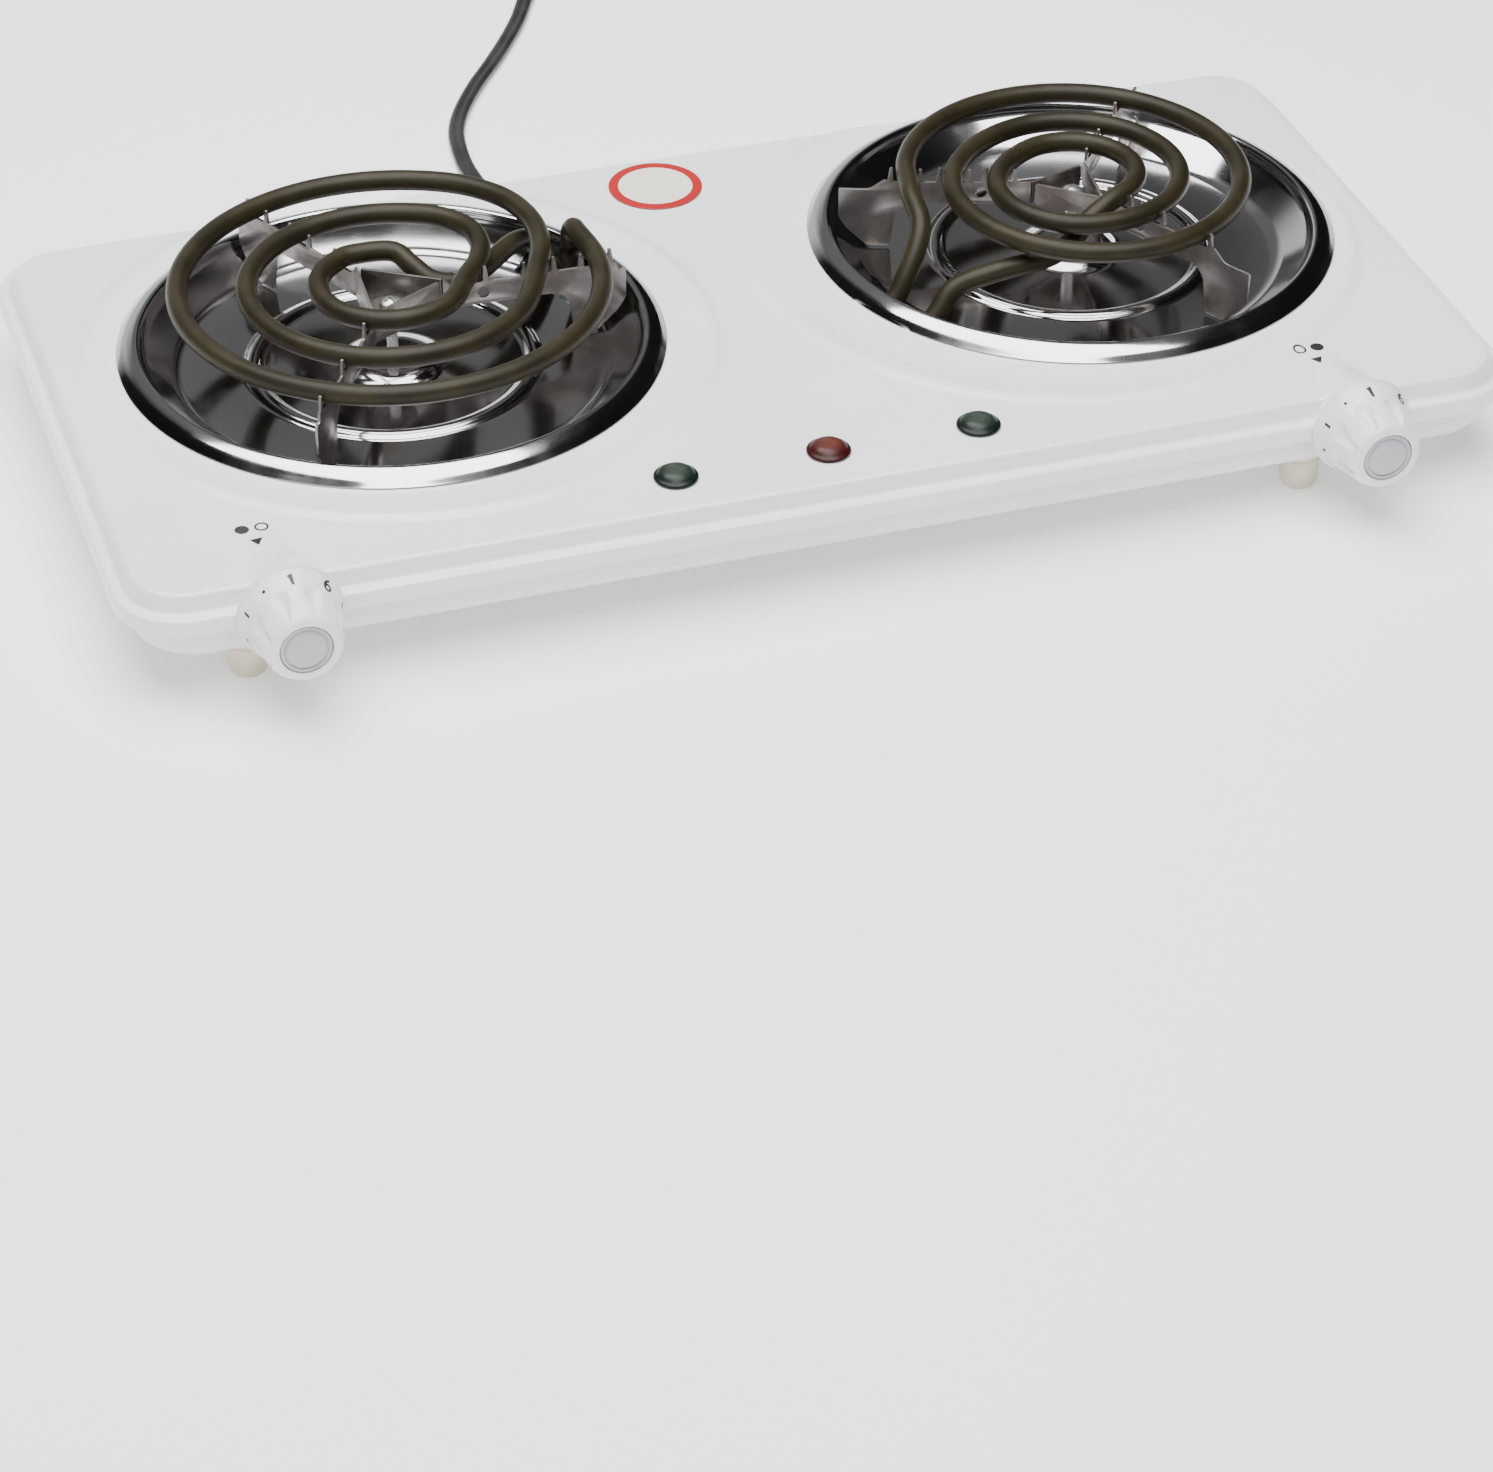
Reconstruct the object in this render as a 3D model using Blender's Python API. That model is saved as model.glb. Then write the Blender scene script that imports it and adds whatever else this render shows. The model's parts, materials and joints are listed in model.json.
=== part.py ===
"""Electric hot plate with two coil burners: enamelled top, chrome drip pans, coils on sheet-steel
supports, two thermostats with dials, three indicator lamps and a mains lead. Metres, +Z up."""

import math

import bmesh
import bpy
from mathutils import Matrix, Vector

for old in list(bpy.data.objects):
    bpy.data.objects.remove(old, do_unlink=True)

# ---------------------------------------------------------------- driving dimensions (metres)
GAP = 0.0003  # clearance kept between pieces that touch on the real object

PLATE_TOP_Z = 0.040
PLATE_HALF_X = 0.241
PLATE_HALF_Y = 0.1163
PLATE_CORNER = 0.018
FLANGE_OUT = 0.006  # the flange stands this far outside the plate's edge
LEDGE_Z = 0.034
SKIRT_Z = 0.028
SHEET = 0.0012

BASE_BOTTOM_Z = 0.015
BASE_LIP_Z = 0.0315
BASE_HALF_X = 0.2415
BASE_HALF_Y = 0.1185
BASE_CORNER = 0.0225
BASE_FLOOR_TOP_Z = BASE_BOTTOM_Z + SHEET

BOSS_BACK_Y = -0.0880  # the pressed cones behind the dials grow from here to the front
BOSS_BACK_R = 0.0060
BOSS_FRONT_R = 0.0145
DIAL_HOLE_R = 0.0044
DIAL_NOTCH_R = 0.0115
LEAD_HOLE_R = 0.0044

PAN_RIM_R = 0.0960
PAN_HOLE_R = 0.0895
PAN_FLOOR_R = 0.0755
PAN_FLOOR_Z = 0.0310
PAN_SHEET = 0.0008

TUBE_R = 0.0037
COIL_Z = 0.0630  # centreline height of the heating coils
LEG_Z = 0.0280  # centreline height of the coil legs at their terminal block

ARM_SHEET = 0.0010
ARM_BOTTOM_Z = 0.0500
ARM_SEAT_Z = COIL_Z - TUBE_R - 0.0005
ARM_TAB_Z = 0.0645
ARM_SHOULDER_Z = 0.0560
ARM_END_R = 0.0845

SHIELD_TOP_Z = 0.0228
SHIELD_SHEET = 0.0008
SHIELD_HALF_X = 0.2120
SHIELD_Y = {"front": -0.0780, "back": 0.0980}

HUB_PLATE_Z = {"low": 0.0528, "top": 0.0540}
HUB_ROD_R = 0.0020
HUB_HEAD_R = 0.0040
HUB_HOLE_R = 0.0023
HUB_NUT_R = 0.0042
HUB_NUT_HEIGHT = 0.0028

KNOB_X = {"left": -0.1936, "right": 0.1828}
DIAL_Z = 0.0317
KNOB_BACK_Y = -0.1228
KNOB_LENGTH = 0.0229
KNOB_BASE_R = 0.0179
KNOB_FACE_R = 0.0112
CAP_R = 0.0086
CAP_PROUD = 0.0006
SHAFT_R = 0.0030
SHAFT_BEHIND = 0.0300  # how far the shaft reaches behind the knob's back
SHAFT_AHEAD = 0.0130

THERMOSTAT_HALF_X = 0.0190
THERMOSTAT_Y = {"front": -0.1100, "back": -0.0870}
THERMOSTAT_Z = {"low": 0.0195, "top": 0.0375}
NECK_R = 0.0038
NECK_END_Y = -0.1195

LAMP_PITCH = 0.0538
LAMP_MIDDLE_X = -0.0015
LAMP_Y = -0.0968
LENS_R = 0.0077
LENS_SHANK_R = 0.0060
LENS_BOTTOM_Z = 0.0330
LENS_RISE = 0.0035
LAMP_HOLE_R = 0.0064
HOLDER_R = 0.0062
HOLDER_BOTTOM_Z = 0.0195

LABEL_X = -0.003
LABEL_Y = 0.0949
LABEL_R = 0.0173
LABEL_FILM = 0.0003

FOOT_X = {"left": -0.205, "right": 0.170}
FOOT_Y = {"front": -0.105, "back": 0.105}
FOOT_R = 0.0070
POST_X = {"left": -0.228, "right": 0.228}
POST_Y = {"front": -0.062, "back": 0.070}
POST_R = 0.0042
SCREW_R = 0.0017
SCREW_HOLE_R = 0.0022

CORD_X = -0.0440  # where the lead leaves the back wall
CORD_Z = 0.0225
CORD_R = 0.0026
CORD_COIL = (0.000, 0.3935)
CORD_COIL_R = (0.0290, 0.0430)
CORD_COIL_HEIGHT = 0.0090

# One row for each burner. Angles are in degrees about the burner's centre; "winding" gives the
# angle and radius where each stretch of the spiral ends, outside to inside.
BURNERS = {
    "left": {
        "centre": (-0.123, 0.0175),
        "winding": [(12, 73.5), (-305, 73.5), (-380, 49.5), (-665, 49.5), (-740, 24.8), (-970, 24.8)],
        "arms": (-1.5, 115.5, -121.5),
        "hub_r": 0.0185,
        "side_top_z": 0.0620,
        "leg_angle": 24,
        "leg_spread": 0.0145,
    },
    "right": {
        "centre": (0.132, 0.0205),
        "winding": [(172, 60.5), (-70, 60.5), (-250, 38.4), (-465, 38.4), (-600, 22.8), (-785, 22.8)],
        "arms": (162, 52, -64),
        "hub_r": 0.0150,
        "side_top_z": 0.0590,
        "leg_angle": -156,
        "leg_spread": 0.0095,
    },
}
# The legs' own points: distance from the centre in mm, angle in degrees, height in mm.
OUTER_LEG = {
    "left": [(74.6, 15.5, 62.1), (75.2, 17.6, 58.0), (75.6, 17.8, 49.5), (79.3, 17.0, 37.6), (87, 15.0, 30.2)],
    "right": [(61.6, 179, 62.4), (63.5, 190, 59.0), (68.5, 195, 53.0), (76, 197.6, 44.0), (83.5, 198.2, 34.5)],
}
INNER_LEG = {
    "left": [(23.5, 74, 62.4), (19.2, 52, 59.8), (19.8, 28, 56.2), (28, 17, 54.6), (42, 23, 54.3),
             (60, 30, 53.6), (72, 32, 49.0), (79.3, 31.6, 38.0), (87, 32, 30.2)],
    "right": [(23.8, 278, 61.4), (27.5, 258, 57.2), (37, 247, 54.6), (48, 237, 53.8), (60, 222, 51.5),
              (71, 213, 46.5), (79.5, 211.5, 38.0), (87, 208.5, 31.0)],
}
BLOCK_NEAR_R = 0.1000
BLOCK_SIZE = (0.018, 0.042, 0.0100)

# The knobs reach further forward than the flange does back, so the design's own middle, the
# plate's centre, sits this far behind the origin at the middle of the whole appliance.
PLATE_CENTRE_Y = (-KNOB_BACK_Y + KNOB_LENGTH + CAP_PROUD - PLATE_HALF_Y - FLANGE_OUT) / 2

appliance = bpy.data.objects.new("appliance", None)
bpy.context.scene.collection.objects.link(appliance)
appliance.location = (0, PLATE_CENTRE_Y, 0)


# ---------------------------------------------------------------- materials
def finish(name, colour, roughness, metallic=0.0):
    made = bpy.data.materials.new(name)
    made.use_nodes = True
    shader = made.node_tree.nodes["Principled BSDF"]
    shader.inputs["Base Color"].default_value = (*colour, 1)
    shader.inputs["Roughness"].default_value = roughness
    shader.inputs["Metallic"].default_value = metallic
    made.diffuse_color = (*colour, 1)
    return made


ENAMEL = finish("white_enamel", (0.86, 0.87, 0.88), 0.18)
CHROME = finish("chrome", (0.78, 0.78, 0.79), 0.08, 1)
ELEMENT = finish("coil_sheath", (0.075, 0.065, 0.040), 0.5, 0.3)
STEEL = finish("support_steel", (0.42, 0.40, 0.38), 0.4, 1)
ZINC = finish("zinc_screws", (0.60, 0.60, 0.58), 0.35, 1)
GALVANISED = finish("galvanised_sheet", (0.55, 0.57, 0.58), 0.45, 1)
CERAMIC = finish("ceramic", (0.83, 0.80, 0.73), 0.6)
KNOB_PLASTIC = finish("white_plastic", (0.84, 0.85, 0.85), 0.3)
CAP_PLASTIC = finish("grey_cap", (0.66, 0.68, 0.70), 0.35)
GREEN_LENS = finish("green_lens", (0.03, 0.09, 0.07), 0.1)
RED_LENS = finish("red_lens", (0.25, 0.02, 0.02), 0.1)
HOLDER = finish("lamp_holder_plastic", (0.75, 0.73, 0.68), 0.5)
FOOT_RUBBER = finish("cream_rubber", (0.72, 0.62, 0.45), 0.7)
BLACK_PVC = finish("black_lead", (0.02, 0.02, 0.02), 0.45)
PRONG = finish("nickel_prongs", (0.72, 0.68, 0.58), 0.25, 1)
LABEL = finish("round_label", (0.80, 0.12, 0.12), 0.4)


# ---------------------------------------------------------------- shape helpers
def add_object(name, mesh_or_curve, material, at=(0, 0, 0), turn=(0, 0, 0), parent=appliance):
    made = bpy.data.objects.new(name, mesh_or_curve)
    bpy.context.scene.collection.objects.link(made)
    made.data.materials.append(material)
    made.location = at
    made.rotation_euler = turn
    made.parent = parent
    return made


def add_mesh(name, bm, material, **place):
    bmesh.ops.recalc_face_normals(bm, faces=bm.faces)
    mesh = bpy.data.meshes.new(name)
    bm.to_mesh(mesh)
    bm.free()
    mesh.shade_smooth()
    mesh.set_sharp_from_angle(angle=math.radians(35))
    return add_object(name, mesh, material, **place)


def turned(name, profile, material, segments=32, **place):
    """Turns a profile of (radius, height) about Z. It either starts and ends on the axis or is a
    closed loop clear of it."""
    bm = bmesh.new()
    rings = []
    for radius, height in profile:
        if radius == 0:
            rings.append([bm.verts.new((0, 0, height))])
            continue
        ring = []
        for step in range(segments):
            angle = math.tau * step / segments
            ring.append(bm.verts.new((radius * math.cos(angle), radius * math.sin(angle), height)))
        rings.append(ring)
    pairs = list(zip(rings, rings[1:]))
    if profile[0][0] > 0:
        pairs.append((rings[-1], rings[0]))
    for lower, upper in pairs:
        if len(lower) == 1 and len(upper) == 1:
            continue
        for step in range(segments):
            after = (step + 1) % segments
            corners = [lower[step % len(lower)], lower[after % len(lower)]]
            corners += [upper[after % len(upper)], upper[step % len(upper)]]
            bm.faces.new(list(dict.fromkeys(corners)))
    return add_mesh(name, bm, material, **place)


def rounded_rectangle(half_x, half_y, radius, z, steps=4):
    """The outline's points, anticlockwise, with each corner an arc."""
    points = []
    for corner, (side_x, side_y) in enumerate(((1, 1), (-1, 1), (-1, -1), (1, -1))):
        for step in range(steps + 1):
            angle = math.radians(90 * (corner + step / steps))
            x = side_x * (half_x - radius) + radius * math.cos(angle)
            y = side_y * (half_y - radius) + radius * math.sin(angle)
            points.append(Vector((x, y, z)))
    return points


def lofted(name, rings, material, **place):
    """A closed skin through rings of equal count, capped at the first and the last."""
    bm = bmesh.new()
    rows = [[bm.verts.new(point) for point in ring] for ring in rings]
    for row, after in zip(rows, rows[1:]):
        for step in range(len(row)):
            other = (step + 1) % len(row)
            bm.faces.new((row[step], row[other], after[other], after[step]))
    bm.faces.new(rows[0])
    bm.faces.new(rows[-1])
    return add_mesh(name, bm, material, **place)


def prism(name, outline, low, high, material, **place):
    """An outline of (x, y) points made solid from height low to height high."""
    rings = [[Vector((x, y, z)) for x, y in outline] for z in (low, high)]
    return lofted(name, rings, material, **place)


def block(name, low, high, material, **place):
    outline = [(low[0], low[1]), (high[0], low[1]), (high[0], high[1]), (low[0], high[1])]
    return prism(name, outline, low[2], high[2], material, **place)


def rod(name, radius, low, high, material, segments=16, **place):
    return turned(name, [(0, low), (radius, low), (radius, high), (0, high)], material, segments, **place)


def combine(target, other, operation):
    """Adds an exact Boolean, and keeps the other shape as a hidden helper."""
    other.hide_render = True
    other.display_type = "WIRE"
    modifier = target.modifiers.new(operation.lower(), "BOOLEAN")
    modifier.operation = operation
    modifier.object = other


def smooth_route(points, spacing):
    """Points at an even spacing along a smooth curve through the given ones (Catmull-Rom)."""
    points = [Vector(point) for point in points]
    ends = [2 * points[0] - points[1]] + points + [2 * points[-1] - points[-2]]
    fine = [points[0]]
    for before, start, end, after in zip(ends, ends[1:], ends[2:], ends[3:]):
        for step in range(1, 33):
            t = step / 32
            slope_in = (end - before) / 2
            slope_out = (after - start) / 2
            fine.append(
                start * (2 * t**3 - 3 * t**2 + 1)
                + slope_in * (t**3 - 2 * t**2 + t)
                + end * (3 * t**2 - 2 * t**3)
                + slope_out * (t**3 - t**2)
            )
    total = sum((b - a).length for a, b in zip(fine, fine[1:]))
    count = round(total / spacing)
    step_length = total / count
    route = [fine[0]]
    walked = 0.0
    for start, end in zip(fine, fine[1:]):
        length = (end - start).length
        while len(route) < count and walked + length >= step_length * len(route):
            route.append(start.lerp(end, (step_length * len(route) - walked) / length))
        walked += length
    route.append(fine[-1])
    return route


def tube(name, route, radius, material, **place):
    curve = bpy.data.curves.new(name, "CURVE")
    curve.dimensions = "3D"
    curve.bevel_depth = radius
    curve.bevel_resolution = 2
    curve.use_fill_caps = True
    spline = curve.splines.new("POLY")
    spline.points.add(len(route) - 1)
    for point, where in zip(spline.points, route):
        point.co = (*where, 1)
    return add_object(name, curve, material, **place)


def polar(radius, degrees, z):
    angle = math.radians(degrees)
    return Vector((radius * math.cos(angle), radius * math.sin(angle), z))


# ---------------------------------------------------------------- housing
def dial_boss(name, x, inset, front_y):
    """The cone pressed in the plate behind a dial: arched sections that grow towards the front."""
    rings = []
    bottom = SKIRT_Z + 0.0005 - 8 * inset
    for y, radius in ((BOSS_BACK_Y, BOSS_BACK_R), (front_y, BOSS_FRONT_R)):
        radius -= inset
        ring = [Vector((x - radius, y, bottom))]
        for step in range(9):
            angle = math.pi * (1 - step / 8)
            ring.append(Vector((x + radius * math.cos(angle), y, DIAL_Z + radius * math.sin(angle))))
        ring.append(Vector((x + radius, y, bottom)))
        rings.append(ring)
    return lofted(name, rings, ENAMEL)


def plate_rings(inset, bottom):
    """The top plate's outer skin from its bottom edge up, or the hollow under it when inset."""
    reach = FLANGE_OUT - inset
    steps = [(reach, bottom), (reach, LEDGE_Z - 0.0012 - inset), (reach - 0.0012, LEDGE_Z - inset)]
    steps += [(0.0022 - inset, LEDGE_Z - inset), (0.0014 - inset, LEDGE_Z + 0.001 - inset)]
    steps += [(-inset, PLATE_TOP_Z - 0.0016 - inset), (-0.0016 - inset, PLATE_TOP_Z - inset)]
    rings = []
    for out, z in steps:
        rings.append(rounded_rectangle(PLATE_HALF_X + out, PLATE_HALF_Y + out, PLATE_CORNER + out, z))
    return rings


def housing():
    plate = lofted("top_plate", plate_rings(0, SKIRT_Z), ENAMEL)
    for side, x in KNOB_X.items():
        combine(plate, dial_boss("boss_" + side, x, 0, KNOB_BACK_Y + 0.0008), "UNION")
    combine(plate, lofted("plate_hollow", plate_rings(SHEET, SKIRT_Z - 0.005), ENAMEL), "DIFFERENCE")
    for side, x in KNOB_X.items():
        combine(plate, dial_boss("boss_hollow_" + side, x, SHEET, KNOB_BACK_Y + 0.002), "DIFFERENCE")
        place = {"at": (x, 0, DIAL_Z), "turn": (math.pi / 2, 0, 0)}
        hole = rod("dial_hole_" + side, DIAL_HOLE_R, 0.100, 0.130, ENAMEL, **place)
        combine(plate, hole, "DIFFERENCE")
    for side, burner in BURNERS.items():
        hole = rod("pan_hole_" + side, PAN_HOLE_R, 0.030, 0.045, ENAMEL, 48, at=(*burner["centre"], 0))
        combine(plate, hole, "DIFFERENCE")
    for number in (-1, 0, 1):
        where = (LAMP_MIDDLE_X + number * LAMP_PITCH, LAMP_Y, 0)
        hole = rod(f"lamp_hole_{number + 2}", LAMP_HOLE_R, 0.030, 0.045, ENAMEL, at=where)
        combine(plate, hole, "DIFFERENCE")

    steps = [(-0.0060, BASE_BOTTOM_Z), (-0.0022, 0.0168), (-0.0004, 0.0200), (0, 0.0235), (0, BASE_LIP_Z)]
    steps += [(-SHEET, BASE_LIP_Z), (-SHEET, 0.0237), (-0.0016, 0.0205), (-0.0032, 0.0178)]
    steps += [(-0.0066, BASE_FLOOR_TOP_Z)]
    rings = []
    for out, z in steps:
        rings.append(rounded_rectangle(BASE_HALF_X + out, BASE_HALF_Y + out, BASE_CORNER + out, z))
    base = lofted("base_pan", rings, ENAMEL)
    for side, x in KNOB_X.items():
        place = {"at": (x, 0, DIAL_Z), "turn": (math.pi / 2, 0, 0)}
        notch = rod("dial_notch_" + side, DIAL_NOTCH_R, 0.112, 0.125, ENAMEL, **place)
        combine(base, notch, "DIFFERENCE")
    place = {"at": (CORD_X, 0, CORD_Z), "turn": (math.pi / 2, 0, 0)}
    hole = rod("lead_hole", LEAD_HOLE_R, -0.125, -0.112, ENAMEL, **place)
    combine(base, hole, "DIFFERENCE")
    for spots in ((FOOT_X, FOOT_Y), (POST_X, POST_Y)):
        for x in spots[0].values():
            for y in spots[1].values():
                hole = rod("screw_hole", SCREW_HOLE_R, 0.010, 0.020, ENAMEL, 12, at=(x, y, 0))
                combine(base, hole, "DIFFERENCE")


def feet_and_fasteners():
    foot = [(0.0021, 0.0050), (0.0040, 0.0050), (0.0040, 0), (0.0056, 0), (0.0066, 0.0012)]
    foot += [(FOOT_R, 0.0034), (FOOT_R, BASE_BOTTOM_Z - GAP), (0.0021, BASE_BOTTOM_Z - GAP)]
    foot_screw = [(0, 0.0022), (0.0030, 0.0022), (0.0036, 0.0030), (0.0036, 0.0047), (SCREW_R, 0.0047)]
    foot_screw += [(SCREW_R, 0.0183), (0, 0.0188)]
    for row, y in FOOT_Y.items():
        for side, x in FOOT_X.items():
            where = (x, y, 0)
            turned(f"foot_{row}_{side}", foot, FOOT_RUBBER, 14, at=where)
            turned(f"foot_screw_{row}_{side}", foot_screw, ZINC, 8, at=where)
    screw = [(0, 0.0122), (0.0030, 0.0122), (0.0038, 0.0132), (0.0038, BASE_BOTTOM_Z - GAP)]
    screw += [(SCREW_R, BASE_BOTTOM_Z - GAP), (SCREW_R, 0.0255), (0, 0.0260)]
    post_top = PLATE_TOP_Z - SHEET - GAP
    post = [(0, 0.0300), (SCREW_R + GAP, 0.0300), (SCREW_R + GAP, BASE_FLOOR_TOP_Z + GAP)]
    post += [(POST_R, BASE_FLOOR_TOP_Z + GAP), (POST_R, post_top), (0, post_top)]
    for row, y in POST_Y.items():
        for side, x in POST_X.items():
            turned(f"case_screw_{row}_{side}", screw, ZINC, 8, at=(x, y, 0))
            turned(f"case_post_{row}_{side}", post, ZINC, 8, at=(x, y, 0))


def heat_shield():
    """A sheet channel that carries both burners and shields the worktop from them."""
    front = SHIELD_Y["front"]
    back = SHIELD_Y["back"]
    low = BASE_FLOOR_TOP_Z + GAP
    inner = SHIELD_TOP_Z - SHIELD_SHEET
    outline = [(front, low), (front, SHIELD_TOP_Z), (back, SHIELD_TOP_Z), (back, low)]
    outline += [(back - SHIELD_SHEET, low), (back - SHIELD_SHEET, inner)]
    outline += [(front + SHIELD_SHEET, inner), (front + SHIELD_SHEET, low)]
    rings = [[Vector((x, y, z)) for y, z in outline] for x in (-SHIELD_HALF_X, SHIELD_HALF_X)]
    shield = lofted("heat_shield", rings, GALVANISED)
    for burner in BURNERS.values():
        hole = rod("hub_hole", HUB_HOLE_R, 0.015, 0.030, GALVANISED, 12, at=(*burner["centre"], 0))
        combine(shield, hole, "DIFFERENCE")


# ---------------------------------------------------------------- burners
def drip_pan(side, burner):
    """A pan with a rolled rim over the plate's hole, a sloping wall, a floor with a pressed ring and
    a raised middle. One window in its wall lets both coil legs out."""
    top = PLATE_TOP_Z
    floor = PAN_FLOOR_Z
    thick = PAN_SHEET
    upper = [(0.0024, floor + 0.0030), (0.0150, floor + 0.0030), (0.0178, floor + thick)]
    upper += [(0.0462, floor + thick), (0.0490, floor + 0.0022), (0.0518, floor + thick)]
    upper += [(PAN_FLOOR_R, floor + thick), (0.0868, top + 0.0026), (0.0890, top + 0.0043)]
    upper += [(0.0925, top + 0.0045), (0.0952, top + 0.0024), (PAN_RIM_R, top + GAP)]
    lower = [(PAN_RIM_R - 0.0010, top + GAP), (0.0942, top + 0.0020), (0.0918, top + 0.0036)]
    lower += [(0.0896, top + 0.0034), (0.0876, top + 0.0020), (PAN_FLOOR_R + 0.0004, floor)]
    lower += [(0.0174, floor), (0.0147, floor + 0.0022), (0.0024, floor + 0.0022)]
    pan = turned("drip_pan_" + side, upper + lower, CHROME, 44, at=(*burner["centre"], 0))
    half_width = burner["leg_spread"] + 0.0062
    low = (0.0715, -half_width, floor - 0.004)
    high = (0.0950, half_width, top + 0.0012)
    window = block("window_" + side, low, high, CHROME)
    window.location = (*burner["centre"], 0)
    window.rotation_euler = (0, 0, math.radians(burner["leg_angle"]))
    combine(pan, window, "DIFFERENCE")


def turn_radii(burner, degrees):
    """The radii in metres at which the winding crosses a direction, from inside to outside."""
    found = []
    winding = burner["winding"]
    for (start, r_start), (end, r_end) in zip(winding, winding[1:]):
        angle = degrees + 360
        while angle > start:
            angle -= 360
        while angle > end:
            t = (start - angle) / (start - end)
            found.append((r_start + (r_end - r_start) * (3 * t**2 - 2 * t**3)) / 1000)
            angle -= 360
    return sorted(found)


def coil(side, burner):
    """The sheathed element: an outer leg, three clockwise turns that step inwards, an inner leg that
    dives under them, and both ends side by side in the terminal block."""
    leg_angle = burner["leg_angle"]
    spread = burner["leg_spread"]
    across = polar(1, leg_angle + 90, 0)

    def leg_end(sign, reach, z):
        return polar(reach, leg_angle, z) + across * spread * sign

    route = [leg_end(-1, BLOCK_NEAR_R + 0.010, LEG_Z), leg_end(-1, 0.096, LEG_Z + 0.0002)]
    for radius, degrees, height in reversed(OUTER_LEG[side]):
        route.append(polar(radius / 1000, degrees, height / 1000))
    winding = burner["winding"]
    for (start, r_start), (end, r_end) in zip(winding, winding[1:]):
        count = max(2, round((start - end) / 15))
        for step in range(count):
            t = step / count
            radius = r_start + (r_end - r_start) * (3 * t**2 - 2 * t**3)
            route.append(polar(radius / 1000, start + (end - start) * t, COIL_Z))
    route.append(polar(winding[-1][1] / 1000, winding[-1][0], COIL_Z))
    for radius, degrees, height in INNER_LEG[side]:
        route.append(polar(radius / 1000, degrees, height / 1000))
    route += [leg_end(1, 0.096, LEG_Z + 0.0002), leg_end(1, BLOCK_NEAR_R + 0.010, LEG_Z)]
    tube("coil_" + side, smooth_route(route, 0.0092), TUBE_R, ELEMENT, at=(*burner["centre"], 0))


def terminal_block(side, burner):
    length, width, height = BLOCK_SIZE
    low = (BLOCK_NEAR_R, -width / 2, SHIELD_TOP_Z + GAP)
    high = (BLOCK_NEAR_R + length, width / 2, SHIELD_TOP_Z + GAP + height)
    turn = (0, 0, math.radians(burner["leg_angle"]))
    made = block("terminal_block_" + side, low, high, CERAMIC, at=(*burner["centre"], 0), turn=turn)
    for sign in (-1, 1):
        socket = rod("socket", TUBE_R + 0.0004, 0.095, 0.1115, CERAMIC, 16, parent=made)
        socket.location = (0, sign * burner["leg_spread"], LEG_Z)
        socket.rotation_euler = (0, math.pi / 2, 0)
        combine(made, socket, "DIFFERENCE")


def support_arms(side, burner):
    """Three pressed strips stand on edge. Each runs outwards under the turns, with a tab outside each
    turn, and its bent inner end is one side of the triangle round the hub."""
    hub_r = burner["hub_r"]
    for number, degrees in enumerate(burner["arms"]):
        radii = turn_radii(burner, degrees)
        outline = [(hub_r, ARM_BOTTOM_Z), (0.0600, ARM_BOTTOM_Z), (0.0640, 0.0460), (0.0655, 0.0328)]
        outline += [(0.0740, 0.0328), (0.0818, 0.0400), (ARM_END_R, 0.0450), (ARM_END_R, ARM_SHOULDER_Z)]
        tops = []
        for radius in reversed(radii):
            seat = TUBE_R + 0.0006
            tops += [(radius + seat + 0.0022, ARM_SEAT_Z), (radius + seat + 0.0018, ARM_TAB_Z)]
            tops += [(radius + seat + 0.0002, ARM_TAB_Z), (radius + seat, ARM_SEAT_Z)]
        outline += tops
        inner_top = burner["side_top_z"]
        outline += [(radii[0] - TUBE_R - 0.0010, ARM_SEAT_Z), (hub_r, inner_top)]
        rings = []
        for y in (-ARM_SHEET / 2, ARM_SHEET / 2):
            rings.append([Vector((x, y, z)) for x, z in outline])
        turn = (0, 0, math.radians(degrees))
        arm = lofted(f"arm_{side}_{number + 1}", rings, STEEL, at=(*burner["centre"], 0), turn=turn)
        corner = polar(hub_r, degrees, 0)
        along = polar(hub_r, burner["arms"][(number + 1) % 3], 0) - corner
        reach = along.length - 0.0018
        fold = block(
            f"fold_{side}_{number + 1}",
            (-0.0004, -ARM_SHEET / 2, ARM_BOTTOM_Z + 0.0002),
            (reach, ARM_SHEET / 2, inner_top - 0.0002),
            STEEL,
            at=(burner["centre"][0] + corner.x, burner["centre"][1] + corner.y, 0),
            turn=(0, 0, math.atan2(along.y, along.x)),
        )
        combine(arm, fold, "UNION")


def hub(side, burner):
    where = (*burner["centre"], 0)
    arms = burner["arms"]
    widest = max(min((a - b) % 360, (b - a) % 360) for a, b in zip(arms, arms[1:] + arms[:1]))
    disc_r = burner["hub_r"] * math.cos(math.radians(widest / 2)) - ARM_SHEET / 2 - 2 * GAP
    low, top = HUB_PLATE_Z.values()
    plate = [(HUB_HOLE_R, low), (disc_r, low), (disc_r, top), (HUB_HOLE_R, top)]
    turned("hub_plate_" + side, plate, STEEL, 18, at=where)
    head = top + GAP
    bolt = [(0, 0.0180), (HUB_ROD_R, 0.0180), (HUB_ROD_R, head), (HUB_HEAD_R, head)]
    bolt += [(HUB_HEAD_R, head + 0.0027), (0, head + 0.0032)]
    turned("hub_bolt_" + side, bolt, ZINC, 10, at=where)
    nut_top = SHIELD_TOP_Z - SHIELD_SHEET - GAP
    nut_low = nut_top - HUB_NUT_HEIGHT
    nut = [(HUB_HOLE_R, nut_low), (HUB_NUT_R, nut_low), (HUB_NUT_R, nut_top), (HUB_HOLE_R, nut_top)]
    turned("hub_nut_" + side, nut, ZINC, 6, at=where)


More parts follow.
